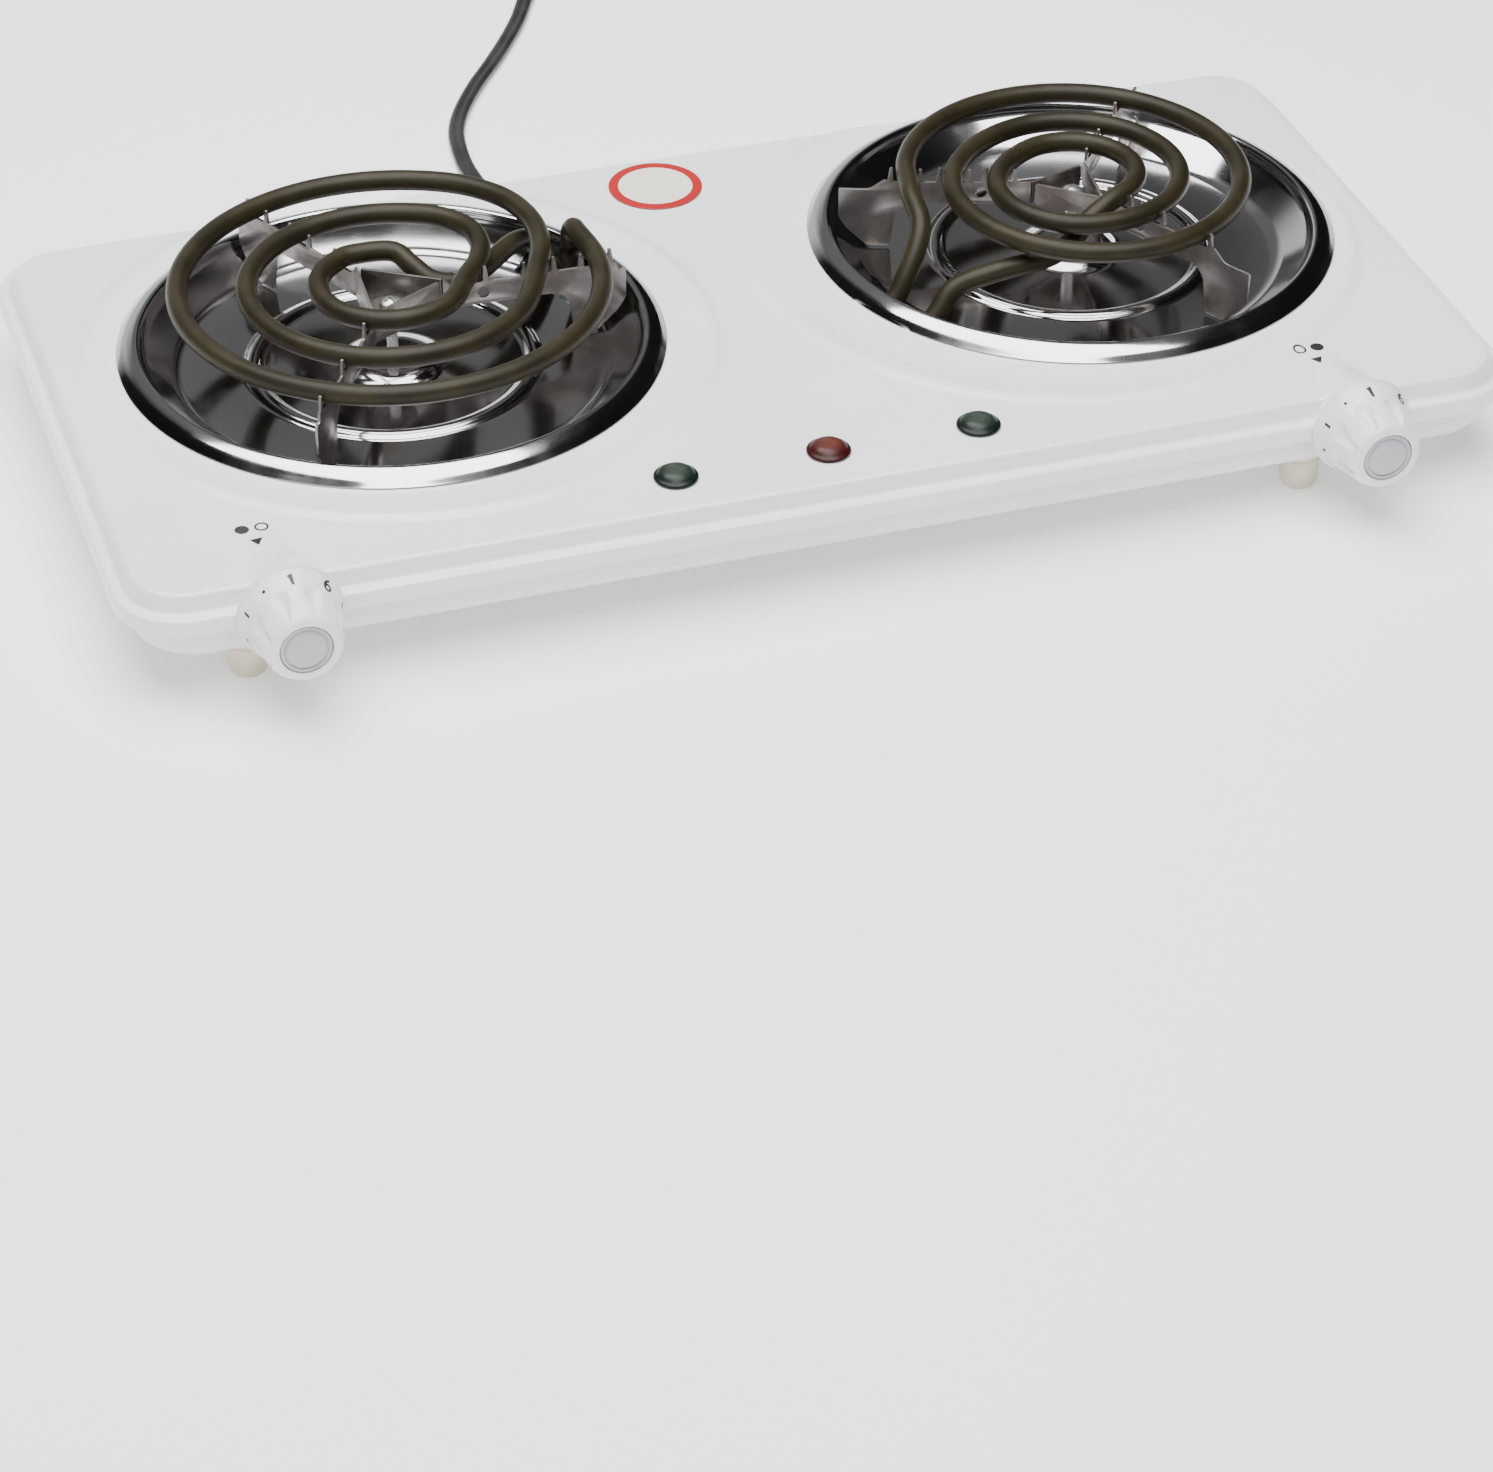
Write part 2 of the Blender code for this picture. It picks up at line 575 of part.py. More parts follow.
# ---------------------------------------------------------------- controls
def thermostat(side):
    """The regulator behind the front wall, with its threaded neck. Its shaft is its own piece."""
    x = KNOB_X[side]
    low = (x - THERMOSTAT_HALF_X, THERMOSTAT_Y["front"], THERMOSTAT_Z["low"])
    high = (x + THERMOSTAT_HALF_X, THERMOSTAT_Y["back"], THERMOSTAT_Z["top"])
    body = block("thermostat_" + side, low, high, CERAMIC)
    axis = {"at": (x, 0, DIAL_Z), "turn": (math.pi / 2, 0, 0)}
    neck = rod("neck_" + side, NECK_R, -THERMOSTAT_Y["front"] - 0.001, -NECK_END_Y, CERAMIC, **axis)
    combine(body, neck, "UNION")
    bore = rod("bore_" + side, SHAFT_R + GAP, 0.092, 0.125, CERAMIC, **axis)
    combine(body, bore, "DIFFERENCE")


def dial(side):
    """The shaft, knob and cap turn together about the dial's axis, which points along -Y."""
    place = {"at": (KNOB_X[side], KNOB_BACK_Y, DIAL_Z), "turn": (math.pi / 2, 0, 0)}
    rod("shaft_" + side, SHAFT_R, -SHAFT_BEHIND, SHAFT_AHEAD, ZINC, **place)
    length = KNOB_LENGTH
    outer = [(0.0062, 0), (0.0172, 0), (KNOB_BASE_R, 0.0007), (KNOB_BASE_R, 0.0022), (0.0172, 0.0030)]
    outer += [(0.0152, 0.0085), (0.0138, 0.0140), (0.0127, length - 0.0022), (0.0120, length - 0.0008)]
    outer += [(KNOB_FACE_R, length), (CAP_R + GAP, length), (CAP_R + GAP, length - 0.0020)]
    blind = SHAFT_AHEAD + 0.0005
    inner = [(0, length - 0.0020), (0, blind), (SHAFT_R + GAP, blind), (SHAFT_R + GAP, 0.0006), (0.0062, 0.0006)]
    profile = inner[1:] + outer + inner[:1]
    turned("knob_" + side, profile, KNOB_PLASTIC, 28, **place)
    low = length - 0.0020 + GAP
    cap = [(0, low), (CAP_R, low), (CAP_R, length), (CAP_R - 0.0010, length + 0.0004), (0, length + CAP_PROUD)]
    turned("knob_cap_" + side, cap, CAP_PLASTIC, 20, **place)


def indicator(number):
    """A domed lens pushed into the plate, with its neon lamp in a holder below."""
    where = (LAMP_MIDDLE_X + (number - 2) * LAMP_PITCH, LAMP_Y, 0)
    top = PLATE_TOP_Z + GAP
    lens = [(0, LENS_BOTTOM_Z), (LENS_SHANK_R, LENS_BOTTOM_Z), (LENS_SHANK_R, top), (LENS_R, top)]
    lens += [(LENS_R, top + 0.0010), (LENS_R * 0.9, top + 0.0021), (LENS_R * 0.55, top + 0.0031)]
    lens += [(0, top + LENS_RISE)]
    turned(f"lens_{number}", lens, RED_LENS if number == 2 else GREEN_LENS, 18, at=where)
    low = HOLDER_BOTTOM_Z
    holder = [(0, low), (HOLDER_R - 0.0012, low), (HOLDER_R, low + 0.0015)]
    holder += [(HOLDER_R, LENS_BOTTOM_Z - GAP), (0, LENS_BOTTOM_Z - GAP)]
    turned(f"lamp_holder_{number}", holder, HOLDER, 12, at=where)


# ---------------------------------------------------------------- mains lead
# The lead's own points where it isn't coiled, seen from the plate's centre. It lies on the worktop.
LEAD_ROUTE = [
    (-0.0440, 0.1492, 0.0103), (-0.0442, 0.1547, 0.0063), (-0.0448, 0.1615, 0.0037), (-0.0457, 0.1687, 0.0027),
    (-0.0470, 0.1780, 0.0027), (-0.0481, 0.1900, 0.0027), (-0.0481, 0.2028, 0.0027), (-0.0461, 0.2192, 0.0027),
    (-0.0429, 0.2312, 0.0027), (-0.0367, 0.2450, 0.0027), (-0.0271, 0.2615, 0.0027), (-0.0159, 0.2779, 0.0027),
    (-0.0056, 0.2939, 0.0027), (0.0045, 0.3113, 0.0027), (0.0120, 0.3270, 0.0027), (0.0191, 0.3417, 0.0027),
    (0.0256, 0.3554, 0.0027),
]
LEAD_TAIL = [
    (-0.0235, 0.4329, 0.0061), (-0.0330, 0.4343, 0.0048), (-0.0430, 0.4358, 0.0043), (-0.0520, 0.4372, 0.0053),
    (-0.0570, 0.4380, 0.0059), (-0.0620, 0.4387, 0.0060),
]


def strain_relief():
    """A bushing snapped into the back wall, whose tapered tail bends down with the lead."""
    wall = BASE_HALF_Y
    straight = [(-0.0072, 0.0046), (-0.0040, 0.0046), (-0.0036, 0.0040), (0.0004, 0.0040), (0.0007, 0.0052)]
    straight += [(0.0032, 0.0052), (0.0036, 0.0047)]
    stations = [(Vector((0, wall + out, CORD_Z)), Vector((0, 1, 0)), radius) for out, radius in straight]
    start = Vector((0, wall + 0.0036, CORD_Z))
    bend = Vector((0, 0.1370, CORD_Z))
    end = Vector((0, 0.1486, 0.0109))
    for step in range(1, 6):
        t = step / 5
        where = start * (1 - t) ** 2 + bend * 2 * t * (1 - t) + end * t**2
        along = ((bend - start) * (1 - t) + (end - bend) * t).normalized()
        stations.append((where, along, 0.0046 - 0.0014 * t))
    rings = []
    for where, along, radius in stations:
        side = Vector((1, 0, 0))
        upwards = side.cross(along)
        ring = []
        for step in range(12):
            angle = math.tau * step / 12
            ring.append(where + radius * (side * math.cos(angle) + upwards * math.sin(angle)))
        rings.append(ring)
    lofted("strain_relief", rings, BLACK_PVC, at=(CORD_X, 0, 0))


def plug():
    """A moulded two-blade plug that lies on its flat side. Local Z points from the lead to the blades."""
    heading = (Vector(LEAD_TAIL[-1]) - Vector(LEAD_TAIL[-2]))
    heading = Vector((heading.x, heading.y, 0)).normalized()
    up = Vector((0, 0, 1))
    sideways = up.cross(heading)
    turn = Matrix((sideways, up, heading)).transposed().to_euler()
    at = Vector(LEAD_TAIL[-1]) + heading * 2 * GAP
    sections = [(0, 0.0034, 0.0034), (0.0120, 0.0044, 0.0042), (0.0150, 0.0085, 0.0055), (0.0190, 0.0112, 0.0059)]
    sections += [(0.0340, 0.0118, 0.0060), (0.0390, 0.0118, 0.0060), (0.0400, 0.0110, 0.0052)]
    rings = [rounded_rectangle(half_x, half_y, half_y * 0.8, z, 3) for z, half_x, half_y in sections]
    lofted("plug", rings, BLACK_PVC, at=at, turn=turn)
    for number, x in enumerate((-0.00635, 0.00635)):
        low = (x - 0.00075, -0.0032, 0.0400 + GAP)
        high = (x + 0.00075, 0.0032, 0.0570)
        block(f"prong_{number + 1}", low, high, PRONG, at=at, turn=turn)


def mains_lead():
    strain_relief()
    tube("cord_run", smooth_route(LEAD_ROUTE, 0.0100), CORD_R, BLACK_PVC)
    tube("cord_tail", smooth_route(LEAD_TAIL, 0.0090), CORD_R, BLACK_PVC)
    plug()
    low, high = CORD_COIL_R
    edge = 0.0016
    ring = [(low, edge), (low + edge, 0.0003), (high - edge, 0.0003), (high, edge)]
    ring += [(high, CORD_COIL_HEIGHT - edge), (high - edge, CORD_COIL_HEIGHT)]
    ring += [(low + edge, CORD_COIL_HEIGHT), (low, CORD_COIL_HEIGHT - edge)]
    turned("cord_coil", ring, BLACK_PVC, 28, at=(*CORD_COIL, 0))


housing()
feet_and_fasteners()
heat_shield()
for burner_side, burner_row in BURNERS.items():
    drip_pan(burner_side, burner_row)
    coil(burner_side, burner_row)
    terminal_block(burner_side, burner_row)
    support_arms(burner_side, burner_row)
    hub(burner_side, burner_row)
    thermostat(burner_side)
    dial(burner_side)
for lamp in (1, 2, 3):
    indicator(lamp)
label_low = PLATE_TOP_Z + GAP
label_top = label_low + LABEL_FILM
disc = [(0, label_low), (LABEL_R, label_low), (LABEL_R, label_top), (0, label_top)]
turned("label", disc, LABEL, 24, at=(LABEL_X, LABEL_Y, 0))
mains_lead()
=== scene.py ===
"""The looks of a double electric hot plate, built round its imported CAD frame.

Each step has a short text cell that says what the piece is and why it is made the way it is, and a code
cell that makes it. Everything is in metres, in the frame's own axes: +X right, +Y back, +Z up.
"""

# %% [markdown]
# ## The frame
# The imported CAD model is the fixed skeleton. It says where every screw, burner and dial sits, so nothing
# here is placed by eye: centres and heights are read from the boxes of the CAD nodes.

# %% Load the frame
import json
import math

import bmesh
import bpy
from mathutils import Euler, Matrix, Vector
from mathutils.bvhtree import BVHTree

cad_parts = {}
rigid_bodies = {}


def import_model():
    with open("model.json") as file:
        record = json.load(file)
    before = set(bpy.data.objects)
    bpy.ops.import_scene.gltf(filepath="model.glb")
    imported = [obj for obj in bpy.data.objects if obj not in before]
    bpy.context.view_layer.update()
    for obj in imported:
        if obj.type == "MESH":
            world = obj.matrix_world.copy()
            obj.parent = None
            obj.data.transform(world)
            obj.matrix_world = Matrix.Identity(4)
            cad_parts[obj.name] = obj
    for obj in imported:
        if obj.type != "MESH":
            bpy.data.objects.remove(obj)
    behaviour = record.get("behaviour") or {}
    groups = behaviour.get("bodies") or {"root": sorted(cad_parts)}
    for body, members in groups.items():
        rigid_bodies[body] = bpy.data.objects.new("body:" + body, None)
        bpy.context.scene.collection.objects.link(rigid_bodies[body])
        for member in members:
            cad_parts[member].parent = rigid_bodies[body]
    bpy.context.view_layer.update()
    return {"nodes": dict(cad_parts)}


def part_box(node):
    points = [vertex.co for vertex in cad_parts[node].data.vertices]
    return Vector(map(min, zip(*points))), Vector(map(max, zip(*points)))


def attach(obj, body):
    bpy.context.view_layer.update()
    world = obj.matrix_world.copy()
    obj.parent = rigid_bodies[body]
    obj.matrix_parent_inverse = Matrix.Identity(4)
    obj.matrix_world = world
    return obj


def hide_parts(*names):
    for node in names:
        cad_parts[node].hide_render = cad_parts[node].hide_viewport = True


for startup_object in list(bpy.data.objects):
    bpy.data.objects.remove(startup_object, do_unlink=True)
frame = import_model()
HOUSING = "housing"
SIDES = ("left", "right")
GAP = 0.0003

# %% [markdown]
# ## Places read from the frame
# The plate's middle is a little behind the origin, because the dials reach further forward than the
# flange reaches back. Design measures below are given from that middle, and `place` turns them into the
# frame's coordinates.


# %% Places
def middle_of(node):
    low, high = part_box(node)
    return (low + high) / 2


PLATE_MIDDLE = Vector((middle_of("top_plate").x, middle_of("top_plate").y, 0))
PLATE_TOP_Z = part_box("label")[0].z - GAP
BURNER_AT = {side: Vector((*middle_of("hub_bolt_" + side).xy, 0)) for side in SIDES}
DIAL_AT = {side: Vector((*middle_of("shaft_" + side).xz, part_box("knob_" + side)[1].y)) for side in SIDES}


def place(x, y, z=0.0):
    """A design point, measured from the plate's middle, as a point of the frame."""
    return PLATE_MIDDLE + Vector((x, y, z))


print("plate middle", PLATE_MIDDLE.to_tuple(4), "top", round(PLATE_TOP_Z, 4))
print("burners", {side: at.to_tuple(4) for side, at in BURNER_AT.items()})

# %% [markdown]
# ## The camera
# A product view from the front left and well above, far away with a long lens, which keeps the two
# ends of the long plate nearly the same size. It turns by its azimuth, tips down by its elevation, and
# leans a fraction of a degree.

# %% Camera
CAMERA_AT = (-0.4288, -1.2787, 0.8427)
CAMERA_AZIMUTH = 18.48
CAMERA_ELEVATION = 36.0
CAMERA_LEAN = 0.47
CAMERA_LENS = 107.4

camera = bpy.data.objects.new("camera", bpy.data.cameras.new("camera"))
bpy.context.scene.collection.objects.link(camera)
camera.data.lens = CAMERA_LENS
camera.data.clip_end = 30
camera.location = CAMERA_AT
aim = Euler((math.radians(90 - CAMERA_ELEVATION), 0, math.radians(-CAMERA_AZIMUTH))).to_matrix()
camera.rotation_euler = (aim @ Matrix.Rotation(math.radians(CAMERA_LEAN), 3, "Z")).to_euler()
bpy.context.scene.camera = camera
print("camera", camera.location.to_tuple(3), "lens", CAMERA_LENS)

# %% [markdown]
# ## The light
# Chrome shows only what it reflects, so the room matters as much as the lamps. Big soft boxes that are
# hardly brighter than white paper give bright bands without burning out. The room itself has black
# walls at both sides, a pale backdrop low down behind, and a dim grey ceiling. So the pans' floors look
# grey, the front of each rim is bright, and the rim's slopes at both sides are black.

# %% Room and lamps
ROOM = {"pale": (0.95, 0.95, 0.96), "dark": (0.012, 0.012, 0.013), "ceiling": (0.20, 0.20, 0.205)}
BACKDROP_TOP = (0.20, 0.42)  # the direction's height where the backdrop fades into the ceiling
SIDE_WALLS = (0.30, 0.50)  # how far sideways a direction must point to meet the black walls
LAMPS = {
    "overhead": {"at": (-0.15, -0.05, 1.50), "size": (2.00, 1.50), "radiance": 8.40, "aim": (0, 0, 0)},
    "front_left": {"at": (-1.35, -1.20, 0.95), "size": (1.10, 1.30), "radiance": 1.90, "aim": (0, 0, 0.03)},
}


def soft_box(name, at, size, radiance, aim):
    """A rectangular lamp whose face is as bright as the given radiance."""
    light = bpy.data.lights.new(name, "AREA")
    light.shape = "RECTANGLE"
    light.size, light.size_y = size
    light.energy = radiance * math.pi * size[0] * size[1]
    box = bpy.data.objects.new(name, light)
    bpy.context.scene.collection.objects.link(box)
    box.location = at
    box.rotation_euler = (Vector(aim) - Vector(at)).to_track_quat("-Z", "Y").to_euler()
    return box


for lamp_name, lamp in LAMPS.items():
    soft_box(lamp_name, **lamp)
print("lamps", list(LAMPS))

# %% [markdown]
# ## Tools for shader nodes
# Materials are built from nodes in code. `add_node` makes one node and fills or links its inputs in one
# call, and `surface` starts a material with a Principled shader. Numbers that are the same all over a
# surface are set on the shader's own sockets.


# %% Shader helpers
def add_node(tree, kind, inputs=None, **settings):
    """One node. An input's value is a number or colour, or another node's output socket."""
    node = tree.nodes.new("ShaderNode" + kind)
    for name, value in settings.items():
        setattr(node, name, value)
    for name, value in (inputs or {}).items():
        if isinstance(value, bpy.types.NodeSocket):
            tree.links.new(value, node.inputs[name])
        else:
            node.inputs[name].default_value = value
    return node


def surface(name, **sockets):
    """A material with a Principled shader, and that shader. Socket names are written with underscores."""
    made = bpy.data.materials.new(name)
    made.use_nodes = True
    shader = made.node_tree.nodes["Principled BSDF"]
    for socket, value in sockets.items():
        shader.inputs[socket.replace("_", " ")].default_value = value
    return made, shader


def mixed(tree, factor, first, second):
    """A colour that runs from first to second with the factor."""
    node = add_node(tree, "Mix", data_type="RGBA")
    for socket, value in (("Factor", factor), ("A", first), ("B", second)):
        if isinstance(value, bpy.types.NodeSocket):
            tree.links.new(value, node.inputs[socket])
        else:
            node.inputs[socket].default_value = value if socket == "Factor" else (*value, 1)
    return node.outputs["Result"]


def ranged(tree, value, low, high, start=0.0, end=1.0):
    """A value that runs from low to high while the input runs from start to end."""
    numbers = {"Value": value, "From Min": start, "From Max": end, "To Min": low, "To Max": high}
    return add_node(tree, "MapRange", numbers).outputs["Result"]


def bumped(tree, shader, height, distance, strength=1.0):
    inputs = {"Height": height, "Distance": distance, "Strength": strength}
    bump = add_node(tree, "Bump", inputs)
    tree.links.new(bump.outputs["Normal"], shader.inputs["Normal"])


def node_group(name, inputs, outputs):
    """An empty group with named number sockets, and its two end nodes."""
    tree = bpy.data.node_groups.new(name, "ShaderNodeTree")
    for socket, value in inputs.items():
        made = tree.interface.new_socket(name=socket, in_out="INPUT", socket_type="NodeSocketFloat")
        made.default_value = value
    for socket in outputs:
        tree.interface.new_socket(name=socket, in_out="OUTPUT", socket_type="NodeSocketFloat")
    return tree, tree.nodes.new("NodeGroupInput"), tree.nodes.new("NodeGroupOutput")


def use_group(tree, group, **values):
    node = tree.nodes.new("ShaderNodeGroup")
    node.node_tree = group
    for name, value in values.items():
        node.inputs[name.title()].default_value = value
    return node


def room_world(tree):
    """The room's walls and ceiling, as a colour for each direction."""
    way = add_node(tree, "SeparateXYZ", {"Vector": add_node(tree, "TexCoord").outputs["Generated"]})
    high = ranged(tree, way.outputs["Z"], 0.0, 1.0, *BACKDROP_TOP)
    sideways = add_node(tree, "Math", {0: way.outputs["X"]}, operation="ABSOLUTE").outputs[0]
    walls = ranged(tree, sideways, 0.0, 1.0, *SIDE_WALLS)
    behind = mixed(tree, high, ROOM["pale"], ROOM["ceiling"])
    tree.links.new(mixed(tree, walls, behind, ROOM["dark"]), tree.nodes["Background"].inputs["Color"])


world = bpy.data.worlds.new("studio")
world.use_nodes = True
bpy.context.scene.world = world
room_world(world.node_tree)
print("shader helpers ready")

# %% [markdown]
# ## Effects that several finishes share
# - patches: slow cloudy variation, for smudges, heat and tone
# - grain: a fine even roughness, for moulded or painted surfaces
# - specks: rare small spots, for dust and pits
# - streaks: a grain drawn out along one axis, for rolled sheet
# - turning lines: very fine circles about a piece's own axis, for spun and turned metal
#
# Each is one node group with its own inputs, built once and placed in every material that needs it.
# They read the object's own coordinates, so a mark stays on its dial when the dial turns.

# %% Patches
patches, ends_in, ends_out = node_group("patches", {"Size": 0.02, "From": 0.35, "To": 0.65}, ["Mask"])
spot = add_node(patches, "TexCoord").outputs["Object"]
per_metre = add_node(patches, "Math", {0: 1.0, 1: ends_in.outputs["Size"]}, operation="DIVIDE")
cloud = add_node(patches, "TexNoise", {"Vector": spot, "Scale": per_metre.outputs[0], "Detail": 4.0})
numbers = {"Value": cloud.outputs["Fac"], "From Min": ends_in.outputs["From"], "From Max": ends_in.outputs["To"]}
soft = add_node(patches, "MapRange", numbers, interpolation_type="SMOOTHSTEP")
patches.links.new(soft.outputs["Result"], ends_out.inputs["Mask"])
print("group", patches.name)

# %% Grain
grain, ends_in, ends_out = node_group("grain", {"Size": 0.001}, ["Height"])
spot = add_node(grain, "TexCoord").outputs["Object"]
per_metre = add_node(grain, "Math", {0: 1.0, 1: ends_in.outputs["Size"]}, operation="DIVIDE")
fine = add_node(grain, "TexNoise", {"Vector": spot, "Scale": per_metre.outputs[0], "Detail": 2.0})
grain.links.new(fine.outputs["Fac"], ends_out.inputs["Height"])
print("group", grain.name)

# %% Specks
specks, ends_in, ends_out = node_group("specks", {"Size": 0.004, "Reach": 0.08}, ["Mask"])
spot = add_node(specks, "TexCoord").outputs["Object"]
per_metre = add_node(specks, "Math", {0: 1.0, 1: ends_in.outputs["Size"]}, operation="DIVIDE")
cells = add_node(specks, "TexVoronoi", {"Vector": spot, "Scale": per_metre.outputs[0]})
cell_tone = add_node(specks, "SeparateColor", {"Color": cells.outputs["Color"]})
reach = add_node(specks, "Math", {0: cell_tone.outputs["Red"], 1: ends_in.outputs["Reach"]}, operation="MULTIPLY")
inside = add_node(specks, "Math", {0: cells.outputs["Distance"], 1: reach.outputs[0]}, operation="LESS_THAN")
specks.links.new(inside.outputs[0], ends_out.inputs["Mask"])
print("group", specks.name)

# %% Streaks
streaks, ends_in, ends_out = node_group("streaks", {"Size": 0.0006, "Stretch": 30.0}, ["Height"])
spot = add_node(streaks, "TexCoord").outputs["Object"]
per_metre = add_node(streaks, "Math", {0: 1.0, 1: ends_in.outputs["Size"]}, operation="DIVIDE")
along = add_node(streaks, "Math", {0: per_metre.outputs[0], 1: ends_in.outputs["Stretch"]}, operation="DIVIDE")
across = per_metre.outputs[0]
scale = add_node(streaks, "CombineXYZ", {"X": across, "Y": across, "Z": along.outputs[0]})
drawn = add_node(streaks, "VectorMath", {0: spot, 1: scale.outputs["Vector"]}, operation="MULTIPLY")
lines = add_node(streaks, "TexNoise", {"Vector": drawn.outputs["Vector"], "Scale": 1.0, "Detail": 3.0})
streaks.links.new(lines.outputs["Fac"], ends_out.inputs["Height"])
print("group", streaks.name)

# %% Turning lines
turning, ends_in, ends_out = node_group("turning_lines", {"Pitch": 0.0004}, ["Height", "Radius"])
spot = add_node(turning, "TexCoord").outputs["Object"]
flat = add_node(turning, "VectorMath", {0: spot, 1: (1.0, 1.0, 0.0)}, operation="MULTIPLY")
radius = add_node(turning, "VectorMath", {0: flat.outputs["Vector"]}, operation="LENGTH")
count = add_node(turning, "Math", {0: radius.outputs["Value"], 1: ends_in.outputs["Pitch"]}, operation="DIVIDE")
lines = add_node(turning, "TexNoise", {"W": count.outputs[0], "Scale": 1.0, "Detail": 2.0}, noise_dimensions="1D")
turning.links.new(lines.outputs["Fac"], ends_out.inputs["Height"])
turning.links.new(radius.outputs["Value"], ends_out.inputs["Radius"])
print("group", turning.name)

# %% [markdown]
# ## Enamel
# White vitreous enamel is glass fused on steel: a hard clear gloss over a very slightly wavy white
# body. So the base is white with faint cloudy tone, the coat is clear, and the waviness, called orange
# peel, is a low soft bump a few millimetres wide. Rare specks are dust and pinholes.

# %% White enamel
ENAMEL, shader = surface("white_enamel", Coat_Weight=0.35, Coat_Roughness=0.08)
tree = ENAMEL.node_tree
cloudy = use_group(tree, patches, size=0.09).outputs["Mask"]
dusty = use_group(tree, specks, size=0.006, reach=0.035).outputs["Mask"]
tone = mixed(tree, cloudy, (0.80, 0.81, 0.82), (0.84, 0.85, 0.86))
tone = mixed(tree, ranged(tree, dusty, 0.0, 0.25), tone, (0.42, 0.40, 0.38))
tree.links.new(tone, shader.inputs["Base Color"])
tree.links.new(ranged(tree, cloudy, 0.20, 0.30), shader.inputs["Roughness"])
peel = use_group(tree, grain, size=0.0045).outputs["Height"]
bumped(tree, shader, peel, 0.00006, 0.5)
print("finish", ENAMEL.name)

# %% [markdown]
# ## Chrome, steel and zinc
# The pans are spun and plated: nearly a mirror, with very fine turning lines, dull smudges where food
# has been wiped off, and a warm tint where the heat is. The supports are bare rolled strip, browned by
# the coils. Screws are zinc plated, and the hidden channel is galvanised, with its large crystals.

# %% Chrome
CHROME, shader = surface("chrome", Metallic=1.0)
tree = CHROME.node_tree
smudge = use_group(tree, patches, size=0.016, **{"from": 0.45, "to": 0.75}).outputs["Mask"]
haze = use_group(tree, patches, size=0.045, **{"from": 0.40, "to": 0.70}).outputs["Mask"]
spun = use_group(tree, turning, pitch=0.00045)
heat = ranged(tree, spun.outputs["Radius"], 0.55, 0.0, 0.060, 0.084)
tint = mixed(tree, heat, (0.55, 0.55, 0.565), (0.42, 0.395, 0.38))
tint = mixed(tree, ranged(tree, haze, 0.0, 0.35), tint, (0.46, 0.45, 0.46))
tree.links.new(tint, shader.inputs["Base Color"])
dull = add_node(tree, "Math", {0: ranged(tree, smudge, 0.09, 0.15), 1: ranged(tree, haze, 0.0, 0.05)})
tree.links.new(dull.outputs[0], shader.inputs["Roughness"])
bumped(tree, shader, spun.outputs["Height"], 0.000012, 0.12)
print("finish", CHROME.name)


# %% Steel strip, zinc and galvanised sheet
def rolled_metal(name, colour, stained, roughness, patch_size):
    """Bare metal sheet: streaks from the rolls, and stains in patches."""
    made, shader = surface(name, Metallic=1.0)
    tree = made.node_tree
    stain = use_group(tree, patches, size=patch_size).outputs["Mask"]
    line = use_group(tree, streaks, size=0.0005, stretch=24.0).outputs["Height"]
    tree.links.new(mixed(tree, stain, colour, stained), shader.inputs["Base Color"])
    rough = add_node(tree, "Math", {0: ranged(tree, line, 0.0, 0.14), 1: ranged(tree, stain, roughness, roughness + 0.1)})
    tree.links.new(rough.outputs[0], shader.inputs["Roughness"])
    bumped(tree, shader, line, 0.00003, 0.35)
    return made


STEEL = rolled_metal("support_steel", (0.27, 0.255, 0.245), (0.17, 0.150, 0.135), 0.30, 0.011)
ZINC = rolled_metal("zinc_screws", (0.66, 0.66, 0.65), (0.50, 0.49, 0.46), 0.28, 0.004)
NICKEL = rolled_metal("nickel_prongs", (0.74, 0.70, 0.62), (0.64, 0.60, 0.52), 0.20, 0.006)
GALVANISED, shader = surface("galvanised_sheet", Metallic=1.0)
tree = GALVANISED.node_tree
spot = add_node(tree, "TexCoord").outputs["Object"]
crystals = add_node(tree, "TexVoronoi", {"Vector": spot, "Scale": 160.0})
crystal_tone = add_node(tree, "SeparateColor", {"Color": crystals.outputs["Color"]}).outputs["Red"]
tree.links.new(mixed(tree, crystal_tone, (0.48, 0.50, 0.52), (0.66, 0.68, 0.70)), shader.inputs["Base Color"])
tree.links.new(ranged(tree, crystal_tone, 0.32, 0.50), shader.inputs["Roughness"])
print("finishes", STEEL.name, ZINC.name, NICKEL.name, GALVANISED.name)

# %% [markdown]
# ## The coils' sheath
# The elements are steel tubes with a baked green-brown oxide, satin like the skin of an olive. It is
# neither paint nor bare metal, so the metallic value is low. The oxide is uneven: darker in clouds,
# finely pitted, and rubbed lighter in spots where pans have slid over it.

# %% Coil sheath
SHEATH, shader = surface("coil_sheath", Metallic=0.10, Specular_IOR_Level=0.22)
tree = SHEATH.node_tree
cloudy = use_group(tree, patches, size=0.014, **{"from": 0.30, "to": 0.70}).outputs["Mask"]
rubbed = use_group(tree, patches, size=0.0035, **{"from": 0.62, "to": 0.80}).outputs["Mask"]
pits = use_group(tree, grain, size=0.0007).outputs["Height"]
facing = add_node(tree, "SeparateXYZ", {"Vector": add_node(tree, "NewGeometry").outputs["Normal"]}).outputs["Z"]
on_top = ranged(tree, facing, 0.0, 0.30, 0.75, 1.0)
worn = add_node(tree, "Math", {0: rubbed, 1: on_top}, operation="MULTIPLY").outputs[0]
tone = mixed(tree, cloudy, (0.015, 0.0122, 0.0058), (0.024, 0.020, 0.0092))
tone = mixed(tree, worn, tone, (0.055, 0.048, 0.028))
tree.links.new(tone, shader.inputs["Base Color"])
